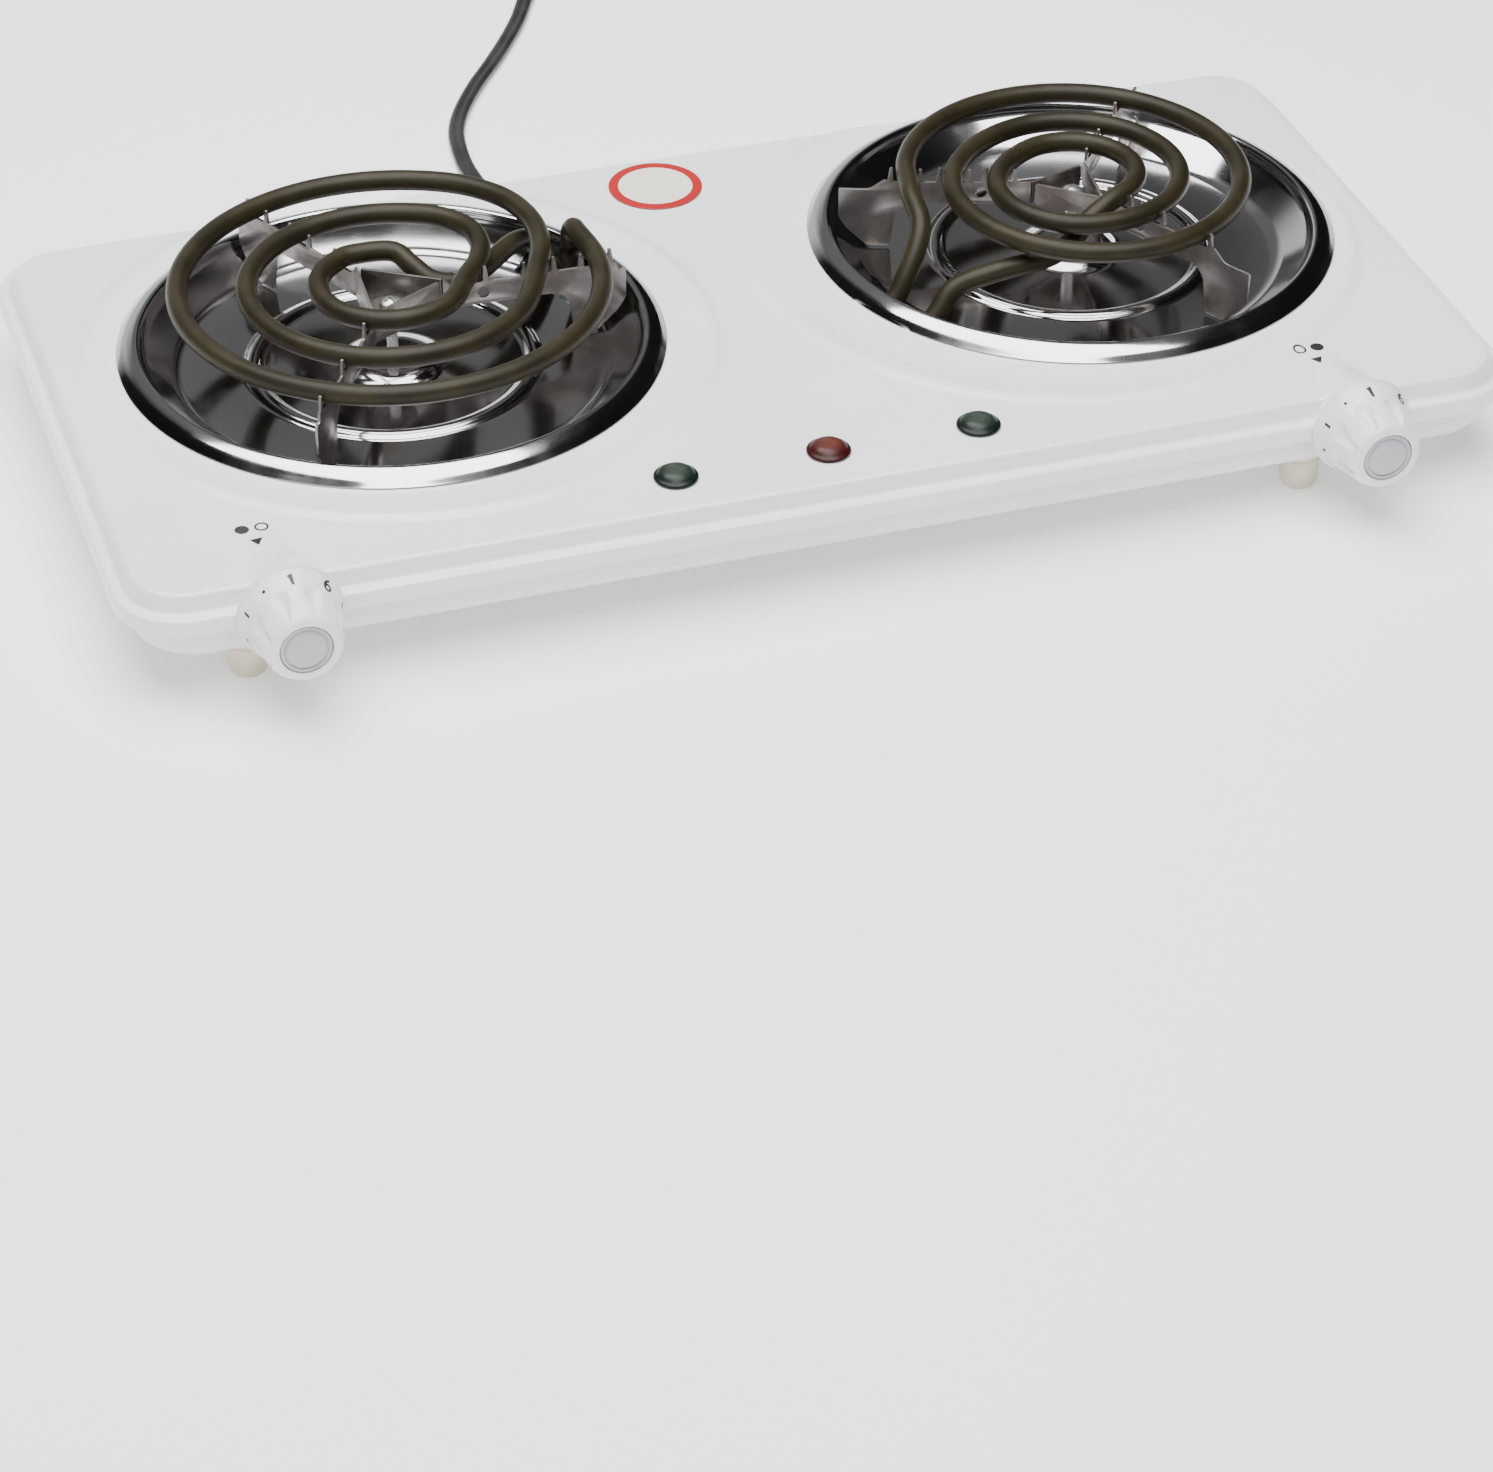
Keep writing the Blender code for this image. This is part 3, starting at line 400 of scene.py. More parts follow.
tree.links.new(ranged(tree, pits, 0.34, 0.52), shader.inputs["Roughness"])
bumped(tree, shader, pits, 0.00005, 0.6)
print("finish", SHEATH.name)

# %% [markdown]
# ## Moulded and printed parts
# Dials, caps, feet, lead and lamp holders share one recipe: a tone that shifts a little in clouds, a
# fine moulded grain, and specks of dust. Only the numbers differ, so one function makes them all.


# %% Plastics, rubber, ceramic and inks
def moulded(name, colour, cloud_colour, roughness, grain_size, grain_depth, cloud_size=0.012, **sockets):
    made, shader = surface(name, **sockets)
    tree = made.node_tree
    cloudy = use_group(tree, patches, size=cloud_size).outputs["Mask"]
    dusty = use_group(tree, specks, size=0.0035, reach=0.05).outputs["Mask"]
    skin = use_group(tree, grain, size=grain_size).outputs["Height"]
    tone = mixed(tree, cloudy, colour, cloud_colour)
    dust_colour = tuple(0.5 * channel + 0.18 for channel in colour)
    tone = mixed(tree, ranged(tree, dusty, 0.0, 0.4), tone, dust_colour)
    tree.links.new(tone, shader.inputs["Base Color"])
    tree.links.new(ranged(tree, cloudy, roughness, roughness + 0.08), shader.inputs["Roughness"])
    bumped(tree, shader, skin, grain_depth, 0.5)
    return made


KNOB_PLASTIC = moulded("white_plastic", (0.78, 0.78, 0.77), (0.82, 0.82, 0.81), 0.24, 0.0009, 0.00002,
                       Coat_Weight=0.15, Coat_Roughness=0.15)
CAP_PLASTIC = moulded("grey_cap", (0.40, 0.41, 0.44), (0.44, 0.45, 0.48), 0.26, 0.0008, 0.00002)
HOLDER_PLASTIC = moulded("lamp_holder_plastic", (0.70, 0.68, 0.62), (0.74, 0.72, 0.67), 0.45, 0.0010, 0.00004)
CREAM_RUBBER = moulded("cream_rubber", (0.78, 0.73, 0.60), (0.72, 0.66, 0.52), 0.55, 0.0006, 0.00006)
BLACK_PVC = moulded("black_lead", (0.016, 0.016, 0.017), (0.024, 0.024, 0.025), 0.34, 0.0007, 0.00004)
CERAMIC = moulded("ceramic", (0.80, 0.76, 0.68), (0.72, 0.67, 0.58), 0.55, 0.0008, 0.00006)
LABEL_FILM = moulded("label_film", (0.83, 0.80, 0.71), (0.80, 0.77, 0.68), 0.30, 0.0015, 0.00001,
                     Coat_Weight=0.3, Coat_Roughness=0.1)
LABEL_RED = moulded("round_label", (0.42, 0.010, 0.012), (0.37, 0.008, 0.010), 0.30, 0.0015, 0.00001,
                    Coat_Weight=0.3, Coat_Roughness=0.1)
BLACK_INK = moulded("black_ink", (0.012, 0.012, 0.013), (0.020, 0.020, 0.021), 0.40, 0.0006, 0.00001)
print("moulded finishes ready")


# %% [markdown]
# ## Lamp lenses
# A lens is a dome of deep tinted plastic over a dark lamp. Light goes in, crosses the tint and comes
# back weakly, so the middle of the dome looks lighter than its rim. That light is painted into the base
# colour: painted light in the middle, painted shade towards the rim, running with the distance from the
# lens's own middle, and a clear coat carries the sharp highlight.


# %% Lenses
def lens_plastic(name, middle, rim):
    made, shader = surface(name, Coat_Weight=0.05, Coat_Roughness=0.10, Specular_IOR_Level=0.20)
    tree = made.node_tree
    across = use_group(tree, turning, pitch=0.0006)
    streak = use_group(tree, patches, size=0.0030).outputs["Mask"]
    # painted shade: the colour runs from the painted lighter middle to the darker rim with the distance from the lens's
    # middle
    painted_rim_shade = ranged(tree, across.outputs["Radius"], 0.0, 1.0, 0.0020, 0.0068)
    tone = mixed(tree, painted_rim_shade, middle, rim)
    tone = mixed(tree, ranged(tree, streak, 0.0, 0.35), tone, rim)
    tree.links.new(tone, shader.inputs["Base Color"])
    tree.links.new(ranged(tree, streak, 0.30, 0.40), shader.inputs["Roughness"])
    bumped(tree, shader, across.outputs["Height"], 0.00004, 0.25)
    return made


# each lens's middle colour is painted light, and its rim colour is painted shade
GREEN_LENS = lens_plastic("green_lens", (0.036, 0.048, 0.037), (0.002, 0.007, 0.005))
RED_LENS = lens_plastic("red_lens", (0.100, 0.028, 0.022), (0.026, 0.002, 0.002))
print("lenses", GREEN_LENS.name, RED_LENS.name)

# %% [markdown]
# ## Finishes of the hidden pieces
# The regulators, terminal blocks, lamp holders, posts, nuts and the channel stay as the CAD made them.
# They are hardly seen, so they only change their material.

# %% Materials of the kept CAD nodes
KEPT_FINISH = {
    "thermostat": CERAMIC,
    "terminal_block": CERAMIC,
    "lamp_holder": HOLDER_PLASTIC,
    "heat_shield": GALVANISED,
    "shaft": ZINC,
    "case_post": ZINC,
    "hub_nut": ZINC,
}


def wear(node, made):
    node.data.materials.clear()
    node.data.materials.append(made)


for node_name, node in frame["nodes"].items():
    for start, made in KEPT_FINISH.items():
        if node_name.startswith(start):
            wear(node, made)
print("kept CAD nodes", sum(name.startswith(tuple(KEPT_FINISH)) for name in frame["nodes"]))

# %% [markdown]
# ## The floor
# A plain sheet of pale paper on a light table, far larger than the picture. It isn't part of the
# object. Its own faint glow keeps it whiter than the enamel and lights the object's lower edges.

# %% Floor
FLOOR_COLOUR = (0.93, 0.93, 0.93)
FLOOR_GLOW = 0.35
floor = bpy.data.objects.new("floor", bpy.data.meshes.new("floor"))
FLOOR_HALF = 6.0
floor.data.from_pydata(
    [(x * FLOOR_HALF, y * FLOOR_HALF, 0) for x, y in ((-1, -1), (1, -1), (1, 1), (-1, 1))], [], [(0, 1, 2, 3)]
)
bpy.context.scene.collection.objects.link(floor)
paper, shader = surface("floor_paper", Roughness=0.85)
tree = paper.node_tree
cloudy = use_group(tree, patches, size=0.6).outputs["Mask"]
tree.links.new(mixed(tree, cloudy, FLOOR_COLOUR, (0.91, 0.91, 0.91)), shader.inputs["Base Color"])
shader.inputs["Emission Color"].default_value = (1, 1, 1, 1)
shader.inputs["Emission Strength"].default_value = FLOOR_GLOW
floor.data.materials.append(paper)
print("floor", floor.name)

# %% [markdown]
# ## Tools for meshes
# The real pieces are turned, pressed, bent and cut, so the tools follow that: `lathe` turns a profile,
# `sweep` draws a section along a path, `cut_sheet` stamps an outline with holes out of sheet, and `skin`
# joins rows of points. `rounded` puts a bend on the corners of any outline, because no pressed or
# moulded edge is truly sharp.


# %% Outline and mesh helpers
UP = Vector((0, 0, 1))


def rounded(points, closed=True, steps=5):
    """Rounds an outline's corners. A point is (a, b) where it stays sharp, or (a, b, reach of the bend)."""
    made = []
    for index, point in enumerate(points):
        corner = Vector(point[:2])
        if len(point) < 3 or (not closed and index in (0, len(points) - 1)):
            made.append(corner)
            continue
        back = Vector(points[index - 1][:2]) - corner
        ahead = Vector(points[(index + 1) % len(points)][:2]) - corner
        start = corner + back.normalized() * min(point[2], back.length * 0.49)
        end = corner + ahead.normalized() * min(point[2], ahead.length * 0.49)
        for step in range(steps + 1):
            t = step / steps
            made.append(start * (1 - t) ** 2 + corner * 2 * t * (1 - t) + end * t**2)
    return made


def mesh_object(name, bm, material, smooth_angle=35):
    bmesh.ops.remove_doubles(bm, verts=bm.verts, dist=1e-7)
    bmesh.ops.recalc_face_normals(bm, faces=bm.faces)
    mesh = bpy.data.meshes.new(name)
    bm.to_mesh(mesh)
    bm.free()
    mesh.shade_smooth()
    mesh.set_sharp_from_angle(angle=math.radians(smooth_angle))
    mesh.materials.append(material)
    made = bpy.data.objects.new(name, mesh)
    bpy.context.scene.collection.objects.link(made)
    return made


def skin(name, rows, material, wrap=True, caps=True, smooth_angle=35):
    """A surface through rows of points, closed round each row and capped at both ends."""
    bm = bmesh.new()
    grid = [[bm.verts.new(point) for point in row] for row in rows]
    for row, after in zip(grid, grid[1:]):
        for index in range(len(row) if wrap else len(row) - 1):
            other = (index + 1) % len(row)
            bm.faces.new((row[index], row[other], after[other], after[index]))
    if caps:
        bm.faces.new(grid[0])
        bm.faces.new(grid[-1])
    return mesh_object(name, bm, material, smooth_angle)


def lathe(name, profile, material, segments=96, radius_at=None, smooth_angle=35):
    """Turns (radius, height) points about Z: from axis to axis, or a closed loop clear of it. radius_at
    may change a ring's radius with the angle and height, as flutes and threads do."""
    bm = bmesh.new()
    rings = []
    for radius, height in profile:
        if radius <= 1e-7:
            rings.append([bm.verts.new((0, 0, height))])
            continue
        ring = []
        for step in range(segments):
            angle = math.tau * step / segments
            here = radius_at(radius, height, angle) if radius_at else radius
            ring.append(bm.verts.new((here * math.cos(angle), here * math.sin(angle), height)))
        rings.append(ring)
    pairs = list(zip(rings, rings[1:]))
    if len(rings[0]) > 1:
        pairs.append((rings[-1], rings[0]))
    for lower, upper in pairs:
        if len(lower) == len(upper) == 1:
            continue
        for step in range(segments):
            other = (step + 1) % segments
            corners = [lower[step % len(lower)], lower[other % len(lower)]]
            corners += [upper[other % len(upper)], upper[step % len(upper)]]
            bm.faces.new(list(dict.fromkeys(corners)))
    return mesh_object(name, bm, material, smooth_angle)


def smooth_route(points, spacing):
    """Evenly spaced points on a smooth curve through the given ones (Catmull-Rom)."""
    points = [Vector(point) for point in points]
    ends = [2 * points[0] - points[1]] + points + [2 * points[-1] - points[-2]]
    fine = [points[0]]
    for before, start, end, after in zip(ends, ends[1:], ends[2:], ends[3:]):
        for step in range(1, 33):
            t = step / 32
            fine.append(
                start * (2 * t**3 - 3 * t**2 + 1)
                + (end - before) / 2 * (t**3 - 2 * t**2 + t)
                + end * (3 * t**2 - 2 * t**3)
                + (after - start) / 2 * (t**3 - t**2)
            )
    total = length_of(fine)
    count = max(2, round(total / spacing))
    route = [fine[0]]
    walked = 0.0
    for start, end in zip(fine, fine[1:]):
        length = (end - start).length
        while len(route) < count and walked + length >= total / count * len(route):
            route.append(start.lerp(end, (total / count * len(route) - walked) / length))
        walked += length
    return route + [fine[-1]]


def length_of(route):
    return sum((b - a).length for a, b in zip(route, route[1:]))


def section_rows(path, section, scales=None):
    """Copies a closed (sideways, upwards) section along a path, square to it and kept upright."""
    rows = []
    for index, where in enumerate(path):
        along = (path[min(index + 1, len(path) - 1)] - path[max(index - 1, 0)]).normalized()
        side = along.cross(UP).normalized()
        above = side.cross(along)
        scale = scales[index] if scales else 1
        rows.append([where + (side * a + above * b) * scale for a, b in section])
    return rows


def sweep(name, path, section, material, scales=None, smooth_angle=35):
    return skin(name, section_rows(path, section, scales), material, smooth_angle=smooth_angle)


def circle(radius, count):
    return [(radius * math.cos(math.tau * i / count), radius * math.sin(math.tau * i / count)) for i in range(count)]


print("outline helpers ready")


# %% Sheet, cut and bend helpers
def evaluated_mesh(source):
    bpy.context.view_layer.update()
    graph = bpy.context.evaluated_depsgraph_get()
    return bpy.data.meshes.new_from_object(source.evaluated_get(graph), depsgraph=graph)


def settle(piece, smooth_angle=35):
    """Applies a piece's modifiers, so that its mesh is final."""
    mesh = evaluated_mesh(piece)
    piece.modifiers.clear()
    piece.data = mesh
    mesh.shade_smooth()
    mesh.set_sharp_from_angle(angle=math.radians(smooth_angle))
    return piece


def cut(piece, cutters, smooth_angle=35, solver="EXACT"):
    """Takes the cutters out of a piece, one after another, and removes them."""
    for cutter in cutters:
        modifier = piece.modifiers.new("cut", "BOOLEAN")
        modifier.operation = "DIFFERENCE"
        modifier.solver = solver
        modifier.object = cutter
    settle(piece, smooth_angle)
    for cutter in cutters:
        bpy.data.objects.remove(cutter)
    return piece


def curve_solid(name, curve, material, smooth_angle=35):
    """The closed mesh of a filled curve or a text."""
    source = bpy.data.objects.new(name + "_outline", curve)
    bpy.context.scene.collection.objects.link(source)
    mesh = evaluated_mesh(source)
    bpy.data.objects.remove(source)
    bm = bmesh.new()
    bm.from_mesh(mesh)
    bpy.data.meshes.remove(mesh)
    return mesh_object(name, bm, material, smooth_angle)


def cut_sheet(name, outlines, thickness, material, edge=0.00012):
    """Stamped sheet in the XY plane. The first outline is the edge, and the others are holes."""
    curve = bpy.data.curves.new(name, "CURVE")
    curve.dimensions = "2D"
    curve.fill_mode = "BOTH"
    curve.extrude = thickness / 2 - edge
    curve.bevel_depth = edge
    curve.bevel_resolution = 1
    curve.offset = -edge
    for outline in outlines:
        spline = curve.splines.new("POLY")
        spline.points.add(len(outline) - 1)
        for point, (x, y) in zip(spline.points, outline):
            point.co = (x, y, 0, 1)
        spline.use_cyclic_u = True
    return curve_solid(name, curve, material)


def reshape(piece, move):
    """Moves every point of a mesh by a rule."""
    for vertex in piece.data.vertices:
        vertex.co = move(vertex.co)
    piece.data.update()
    return piece


def finish_piece(piece, body, slot, *nodes, at=None, turn=None):
    """Puts a piece in place, lets it ride on its body, and hides the CAD nodes that it stands for."""
    if at is not None:
        piece.location = at
    if turn is not None:
        piece.rotation_euler = turn
    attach(piece, body)
    if nodes:
        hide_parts(*nodes)
    print("made", piece.name, len(piece.data.polygons) if piece.type == "MESH" else "curve")
    return piece


FRONT = Euler((math.pi / 2, 0, 0))  # turns a piece's own Z, its axis, towards the front
print("sheet helpers ready")

# %% [markdown]
# ## The mains lead
# A flat twin lead, 6.6 mm wide and 4 mm thick, with a groove down the middle where its two cores part.
# It leaves the back wall through a tapered bushing, bends down to the worktop under its own weight and
# runs off in one loose curve. The rest is wound up as for storage: two turns side by side, then the end
# crosses over them to the plug. Its run and its tail keep the points of the CAD's own route, and the
# turns are worked out by a formula.

# %% The lead's route
LEAD_WIDTH = 0.0066
LEAD_THICK = 0.0040
LEAD_REST_Z = LEAD_THICK / 2 + 0.0001
LEAD_ROUTE = [
    (-0.0440, 0.1492, 0.0103), (-0.0442, 0.1547, 0.0063), (-0.0448, 0.1615, 0.0037), (-0.0457, 0.1687, 0.0027),
    (-0.0470, 0.1780, 0.0027), (-0.0481, 0.1900, 0.0027), (-0.0481, 0.2028, 0.0027), (-0.0461, 0.2192, 0.0027),
    (-0.0429, 0.2312, 0.0027), (-0.0367, 0.2450, 0.0027), (-0.0271, 0.2615, 0.0027), (-0.0159, 0.2779, 0.0027),
    (-0.0056, 0.2939, 0.0027), (0.0045, 0.3113, 0.0027), (0.0120, 0.3270, 0.0027), (0.0191, 0.3417, 0.0027),
    (0.0256, 0.3554, 0.0027),
]
LEAD_TAIL = [
    (-0.0235, 0.4329, 0.0061), (-0.0330, 0.4343, 0.0048), (-0.0430, 0.4358, 0.0043), (-0.0520, 0.4372, 0.0053),
    (-0.0570, 0.4380, 0.0059), (-0.0620, 0.4387, 0.0060),
]
ROUTE_DROP = 0.0006  # the flat lead is thinner than the CAD's round tube, so it lies this much lower
COIL_CENTRE = middle_of("cord_coil") - PLATE_MIDDLE
# angle in degrees, radius and height at the ends of each stretch of the winding
WINDING = [
    (-25.5, 0.0395, LEAD_REST_Z),
    (272, 0.0395, LEAD_REST_Z),
    (334, 0.0325, LEAD_REST_Z),
    (592, 0.0325, LEAD_REST_Z),
    (655, 0.0362, LEAD_REST_Z + LEAD_THICK + 0.0003),
    (796, 0.0362, LEAD_REST_Z + LEAD_THICK + 0.0003),
]
TURN_STEP = 15  # degrees between the winding's points


def eased(t):
    return 3 * t**2 - 2 * t**3


def winding_points():
    points = []
    for (start, r_start, z_start), (end, r_end, z_end) in zip(WINDING, WINDING[1:]):
        count = max(2, round((end - start) / TURN_STEP))
        for step in range(count):
            t = step / count
            angle = math.radians(start + (end - start) * t)
            radius = r_start + (r_end - r_start) * eased(t)
            across = Vector((radius * math.cos(angle), radius * math.sin(angle), 0))
            points.append(Vector((*COIL_CENTRE.xy, z_start + (z_end - z_start) * eased(t))) + across)
    return points


lead_points = [Vector((x, y, z - ROUTE_DROP)) for x, y, z in LEAD_ROUTE]
lead_points += winding_points()
lead_points += [Vector((x, y, z)) for x, y, z in LEAD_TAIL]
lead_path = [point + PLATE_MIDDLE for point in smooth_route(lead_points, 0.0020)]
print("lead length", round(length_of(lead_path), 4))

# %% [markdown]
# The section is two round cores with a web between them, so the groove is real geometry and catches
# a line of light. The bushing grips the wall with two flanges, and its tail is ringed so that it bends
# evenly instead of kinking.


# %% Lead and strain relief
def twin_section(width, thick, groove, count=28):
    """Two rounded cores side by side: a flat oval whose middle is pinched by the groove."""
    points = []
    for step in range(count):
        angle = math.tau * step / count
        a = width / 2 * math.copysign(abs(math.cos(angle)) ** 0.8, math.cos(angle))
        pinch = groove * math.exp(-((a / (width * 0.10)) ** 2))
        b = (thick / 2 - pinch) * math.copysign(abs(math.sin(angle)) ** 0.8, math.sin(angle))
        points.append((a, b))
    return points


lead = sweep("mains_lead", lead_path, twin_section(LEAD_WIDTH, LEAD_THICK, 0.0008), BLACK_PVC, smooth_angle=70)

WALL_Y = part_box("base_pan")[1].y - PLATE_MIDDLE.y
LEAD_EXIT_Z = 0.0225
RELIEF_END = Vector((LEAD_ROUTE[0][0], 0.1486, 0.0109))
RELIEF_RINGS = 7


def relief_path():
    """The bushing's middle line: through the wall, then bending down with the lead."""
    x = LEAD_ROUTE[0][0]
    path = [Vector((x, WALL_Y + out, LEAD_EXIT_Z)) for out in (-0.0072, -0.0040, -0.0036, 0.0004, 0.0007, 0.0032)]
    start = Vector((x, WALL_Y + 0.0036, LEAD_EXIT_Z))
    bend = Vector((x, 0.1370, LEAD_EXIT_Z))
    for step in range(RELIEF_RINGS * 4 + 1):
        t = step / (RELIEF_RINGS * 4)
        path.append(start * (1 - t) ** 2 + bend * 2 * t * (1 - t) + RELIEF_END * t**2)
    return [point + PLATE_MIDDLE for point in path]


relief_radii = [0.0046, 0.0046, 0.0040, 0.0040, 0.0052, 0.0052]
for step in range(RELIEF_RINGS * 4 + 1):
    taper = 0.0047 - 0.0014 * step / (RELIEF_RINGS * 4)
    relief_radii.append(taper - (0.0007 if step % 4 in (1, 2) and step > 2 else 0))
relief = sweep("lead_bushing", relief_path(), circle(1.0, 28), BLACK_PVC, relief_radii, smooth_angle=30)
finish_piece(relief, HOUSING, "black_lead", "strain_relief")

# %% [markdown]
# ## The plug
# A moulded two-blade plug that lies on its flat side. It grows from the lead to a wide body with
# finger ridges on both flats, and the blades have the usual round hole near their tip.

# %% Plug and blades
tail_end = Vector(LEAD_TAIL[-1])
PLUG_HEADING = (tail_end - Vector(LEAD_TAIL[-2])) * Vector((1, 1, 0))
PLUG_HEADING.normalize()
plug_turn = Matrix((UP.cross(PLUG_HEADING), UP, PLUG_HEADING)).transposed().to_euler()
plug_at = tail_end + PLATE_MIDDLE + PLUG_HEADING * 2 * GAP
PLUG_SECTIONS = [
    (0, 0.0036, 0.0030), (0.0040, 0.0038, 0.0034), (0.0110, 0.0044, 0.0041), (0.0135, 0.0060, 0.0048),
    (0.0155, 0.0092, 0.0054), (0.0185, 0.0110, 0.0057), (0.0260, 0.0115, 0.0057), (0.0330, 0.0118, 0.0058),
    (0.0385, 0.0118, 0.0058), (0.0396, 0.0114, 0.0055), (0.0400, 0.0106, 0.0048),
]
RIDGE_AT = (0.0215, 0.0250, 0.0285, 0.0320)
plug_rows = []
for z, half_x, half_y in PLUG_SECTIONS:
    row = []
    for step in range(40):
        angle = math.tau * step / 40
        flat = 0.45
        x = half_x * math.copysign(abs(math.cos(angle)) ** flat, math.cos(angle))
        y = half_y * math.copysign(abs(math.sin(angle)) ** flat, math.sin(angle))
        row.append(Vector((x, y, z)))
    plug_rows.append(row)
plug = skin("plug_body", plug_rows, BLACK_PVC, smooth_angle=40)
ridges = []
for z in RIDGE_AT:
    for sign in (-1, 1):
        groove = lathe("ridge", [(0, -0.0075), (0.0008, -0.0075), (0.0008, 0.0075), (0, 0.0075)], BLACK_PVC, 16)
        groove.rotation_euler = (0, math.pi / 2, 0)
        groove.location = (0, sign * 0.0059, z)
        ridges.append(groove)
cut(plug, ridges)
finish_piece(plug, HOUSING, "black_lead", "plug", at=plug_at, turn=plug_turn)

BLADE = {"x": 0.00635, "half_width": 0.0032, "thick": 0.0015, "start": 0.0397, "tip": 0.0570, "hole": 0.0508}
for number, sign in enumerate((-1, 1)):
    outline = [(-BLADE["half_width"], BLADE["start"]), (BLADE["half_width"], BLADE["start"])]
    outline += [(BLADE["half_width"], BLADE["tip"] - 0.0004, 0.001), (0.0020, BLADE["tip"], 0.001)]
    outline += [(-0.0020, BLADE["tip"], 0.001), (-BLADE["half_width"], BLADE["tip"] - 0.0004, 0.001)]
    hole = [(x, y + BLADE["hole"]) for x, y in circle(0.0015, 20)]
    blade = cut_sheet(f"blade_{number + 1}", [rounded(outline), hole], BLADE["thick"], NICKEL)
    x = sign * BLADE["x"]
    reshape(blade, lambda co: Vector((x + co.z, co.x, co.y)))
    finish_piece(blade, HOUSING, "nickel_prongs", f"prong_{number + 1}", at=plug_at, turn=plug_turn)

finish_piece(lead, HOUSING, "black_lead", "cord_run", "cord_coil", "cord_tail")

# %% [markdown]
# ## The top plate
# One pressed sheet: a flat top with two low round beads that stiffen it outside the pans, a rounded
# crease, a steep wall, a narrow ledge and a skirt. Behind each dial the sheet is drawn out into a cone,
# and the skirt reaches down in a tongue that backs the dial. All of these blend into one another, as in
# deep-drawn steel, which separate shapes joined by Booleans never do. So the skin is one net of points:
# a grid over the top, then rows that run round its edge and down the side, with every height taken from
# one formula. Solidify gives it the thickness of sheet.

# %% Top plate: measures
PLATE_HALF = Vector((0.2410, 0.1163))
PLATE_CORNER = 0.018
FLANGE_OUT = 0.0060
LEDGE_Z = 0.0340
SKIRT_Z = 0.0280
SHEET = 0.0012
CREASE = 0.0018  # how far the rounding between top and wall reaches
BEAD = {"x": 0.121, "y": 0.014, "outer": 0.1135, "rise": 0.0048, "inner": 0.0975, "fall": 0.0120, "height": 0.0012}
PAN_CLEAR = (0.0970, 0.0060)  # from this far off a pan's middle the bead may grow, over this length
BOSS = {"back": -0.088, "back_r": 0.0060, "front": -0.1220, "front_r": 0.0145, "blend": 0.0035}
TONGUE = {"half": 0.0186, "drop": 0.0150, "blend": 0.0050}
GRID_STEP = 0.0016
FINE_STEP = 0.0008
DIAL_Z = DIAL_AT["left"].y
DIAL_X = {side: DIAL_AT[side].x for side in SIDES}


def smooth_max(a, b, reach):
    """The higher of two heights, with a fillet where they meet."""
    overlap = max(reach - abs(a - b), 0) / reach
    return max(a, b) + overlap**2 * reach / 4


def share(value):
    """A smooth step from 0 to 1 over the same range."""
    return eased(min(max(value, 0), 1))


def bead_height(x, y):
    """The low round bead outside each pan: a quick rise, then a gentle fall towards the pan."""
    from_middle = math.hypot(abs(x) - BEAD["x"], y - BEAD["y"])
    rise = share((BEAD["outer"] - from_middle) / BEAD["rise"]) * share((from_middle - BEAD["inner"]) / BEAD["fall"])
    at = BURNER_AT["left" if x < 0 else "right"]
    off_pan = math.hypot(x - at.x, y + PLATE_MIDDLE.y - at.y)
    return BEAD["height"] * rise * share((off_pan - PAN_CLEAR[0]) / PAN_CLEAR[1])


def boss_height(x, y, base):
    """The cone behind each dial, which grows towards the front."""
    t = min((BOSS["back"] - y) / (BOSS["back"] - BOSS["front"]), 1)
    radius = BOSS["back_r"] + (BOSS["front_r"] - BOSS["back_r"]) * t
    for side in SIDES:
        across = x - DIAL_X[side]
        if t > 0 and abs(across) < radius:
            base = smooth_max(base, DIAL_Z + math.sqrt(radius**2 - across**2), BOSS["blend"])
        elif t > 0 and abs(across) < radius + BOSS["blend"]:
            base = smooth_max(base, DIAL_Z - 4 * (abs(across) - radius), BOSS["blend"])
    return base


def sheet_height(x, y):
    return boss_height(x, y, PLATE_TOP_Z + bead_height(x, y))


def skirt_bottom(x, y):
    """The skirt's lower edge: level, but for the tongue under each dial."""
    if y > 0:
        return SKIRT_Z
    low = SKIRT_Z
    for side in SIDES:
        across = (x - DIAL_X[side]) / TONGUE["half"]
        if abs(across) < 1:
            low = -smooth_max(-low, -(DIAL_Z - TONGUE["drop"] * math.sqrt(1 - across**2)), TONGUE["blend"])
    return low


# %% Top plate: the net
def spread_lines(low, high, step, dense):
    """Grid lines from low to high, closer together inside the dense stretches."""
    lines = [low]
    while lines[-1] < high - 1e-6:
        close = any(start <= lines[-1] <= end for start, end in dense)
        lines.append(lines[-1] + (FINE_STEP if close else step))
    stretch = (high - low) / (lines[-1] - low)
    return [low + (line - low) * stretch for line in lines]


def corner_rounded(x, y, half, radius):
    """Squeezes a rectangle's point so that the rectangle's corners become arcs."""
    s, t = abs(x) - (half.x - radius), abs(y) - (half.y - radius)
    if s <= 0 or t <= 0:
        return x, y
    across = s * math.sqrt(1 - t**2 / (2 * radius**2))
    upward = t * math.sqrt(1 - s**2 / (2 * radius**2))
    return math.copysign(half.x - radius + across, x), math.copysign(half.y - radius + upward, y)


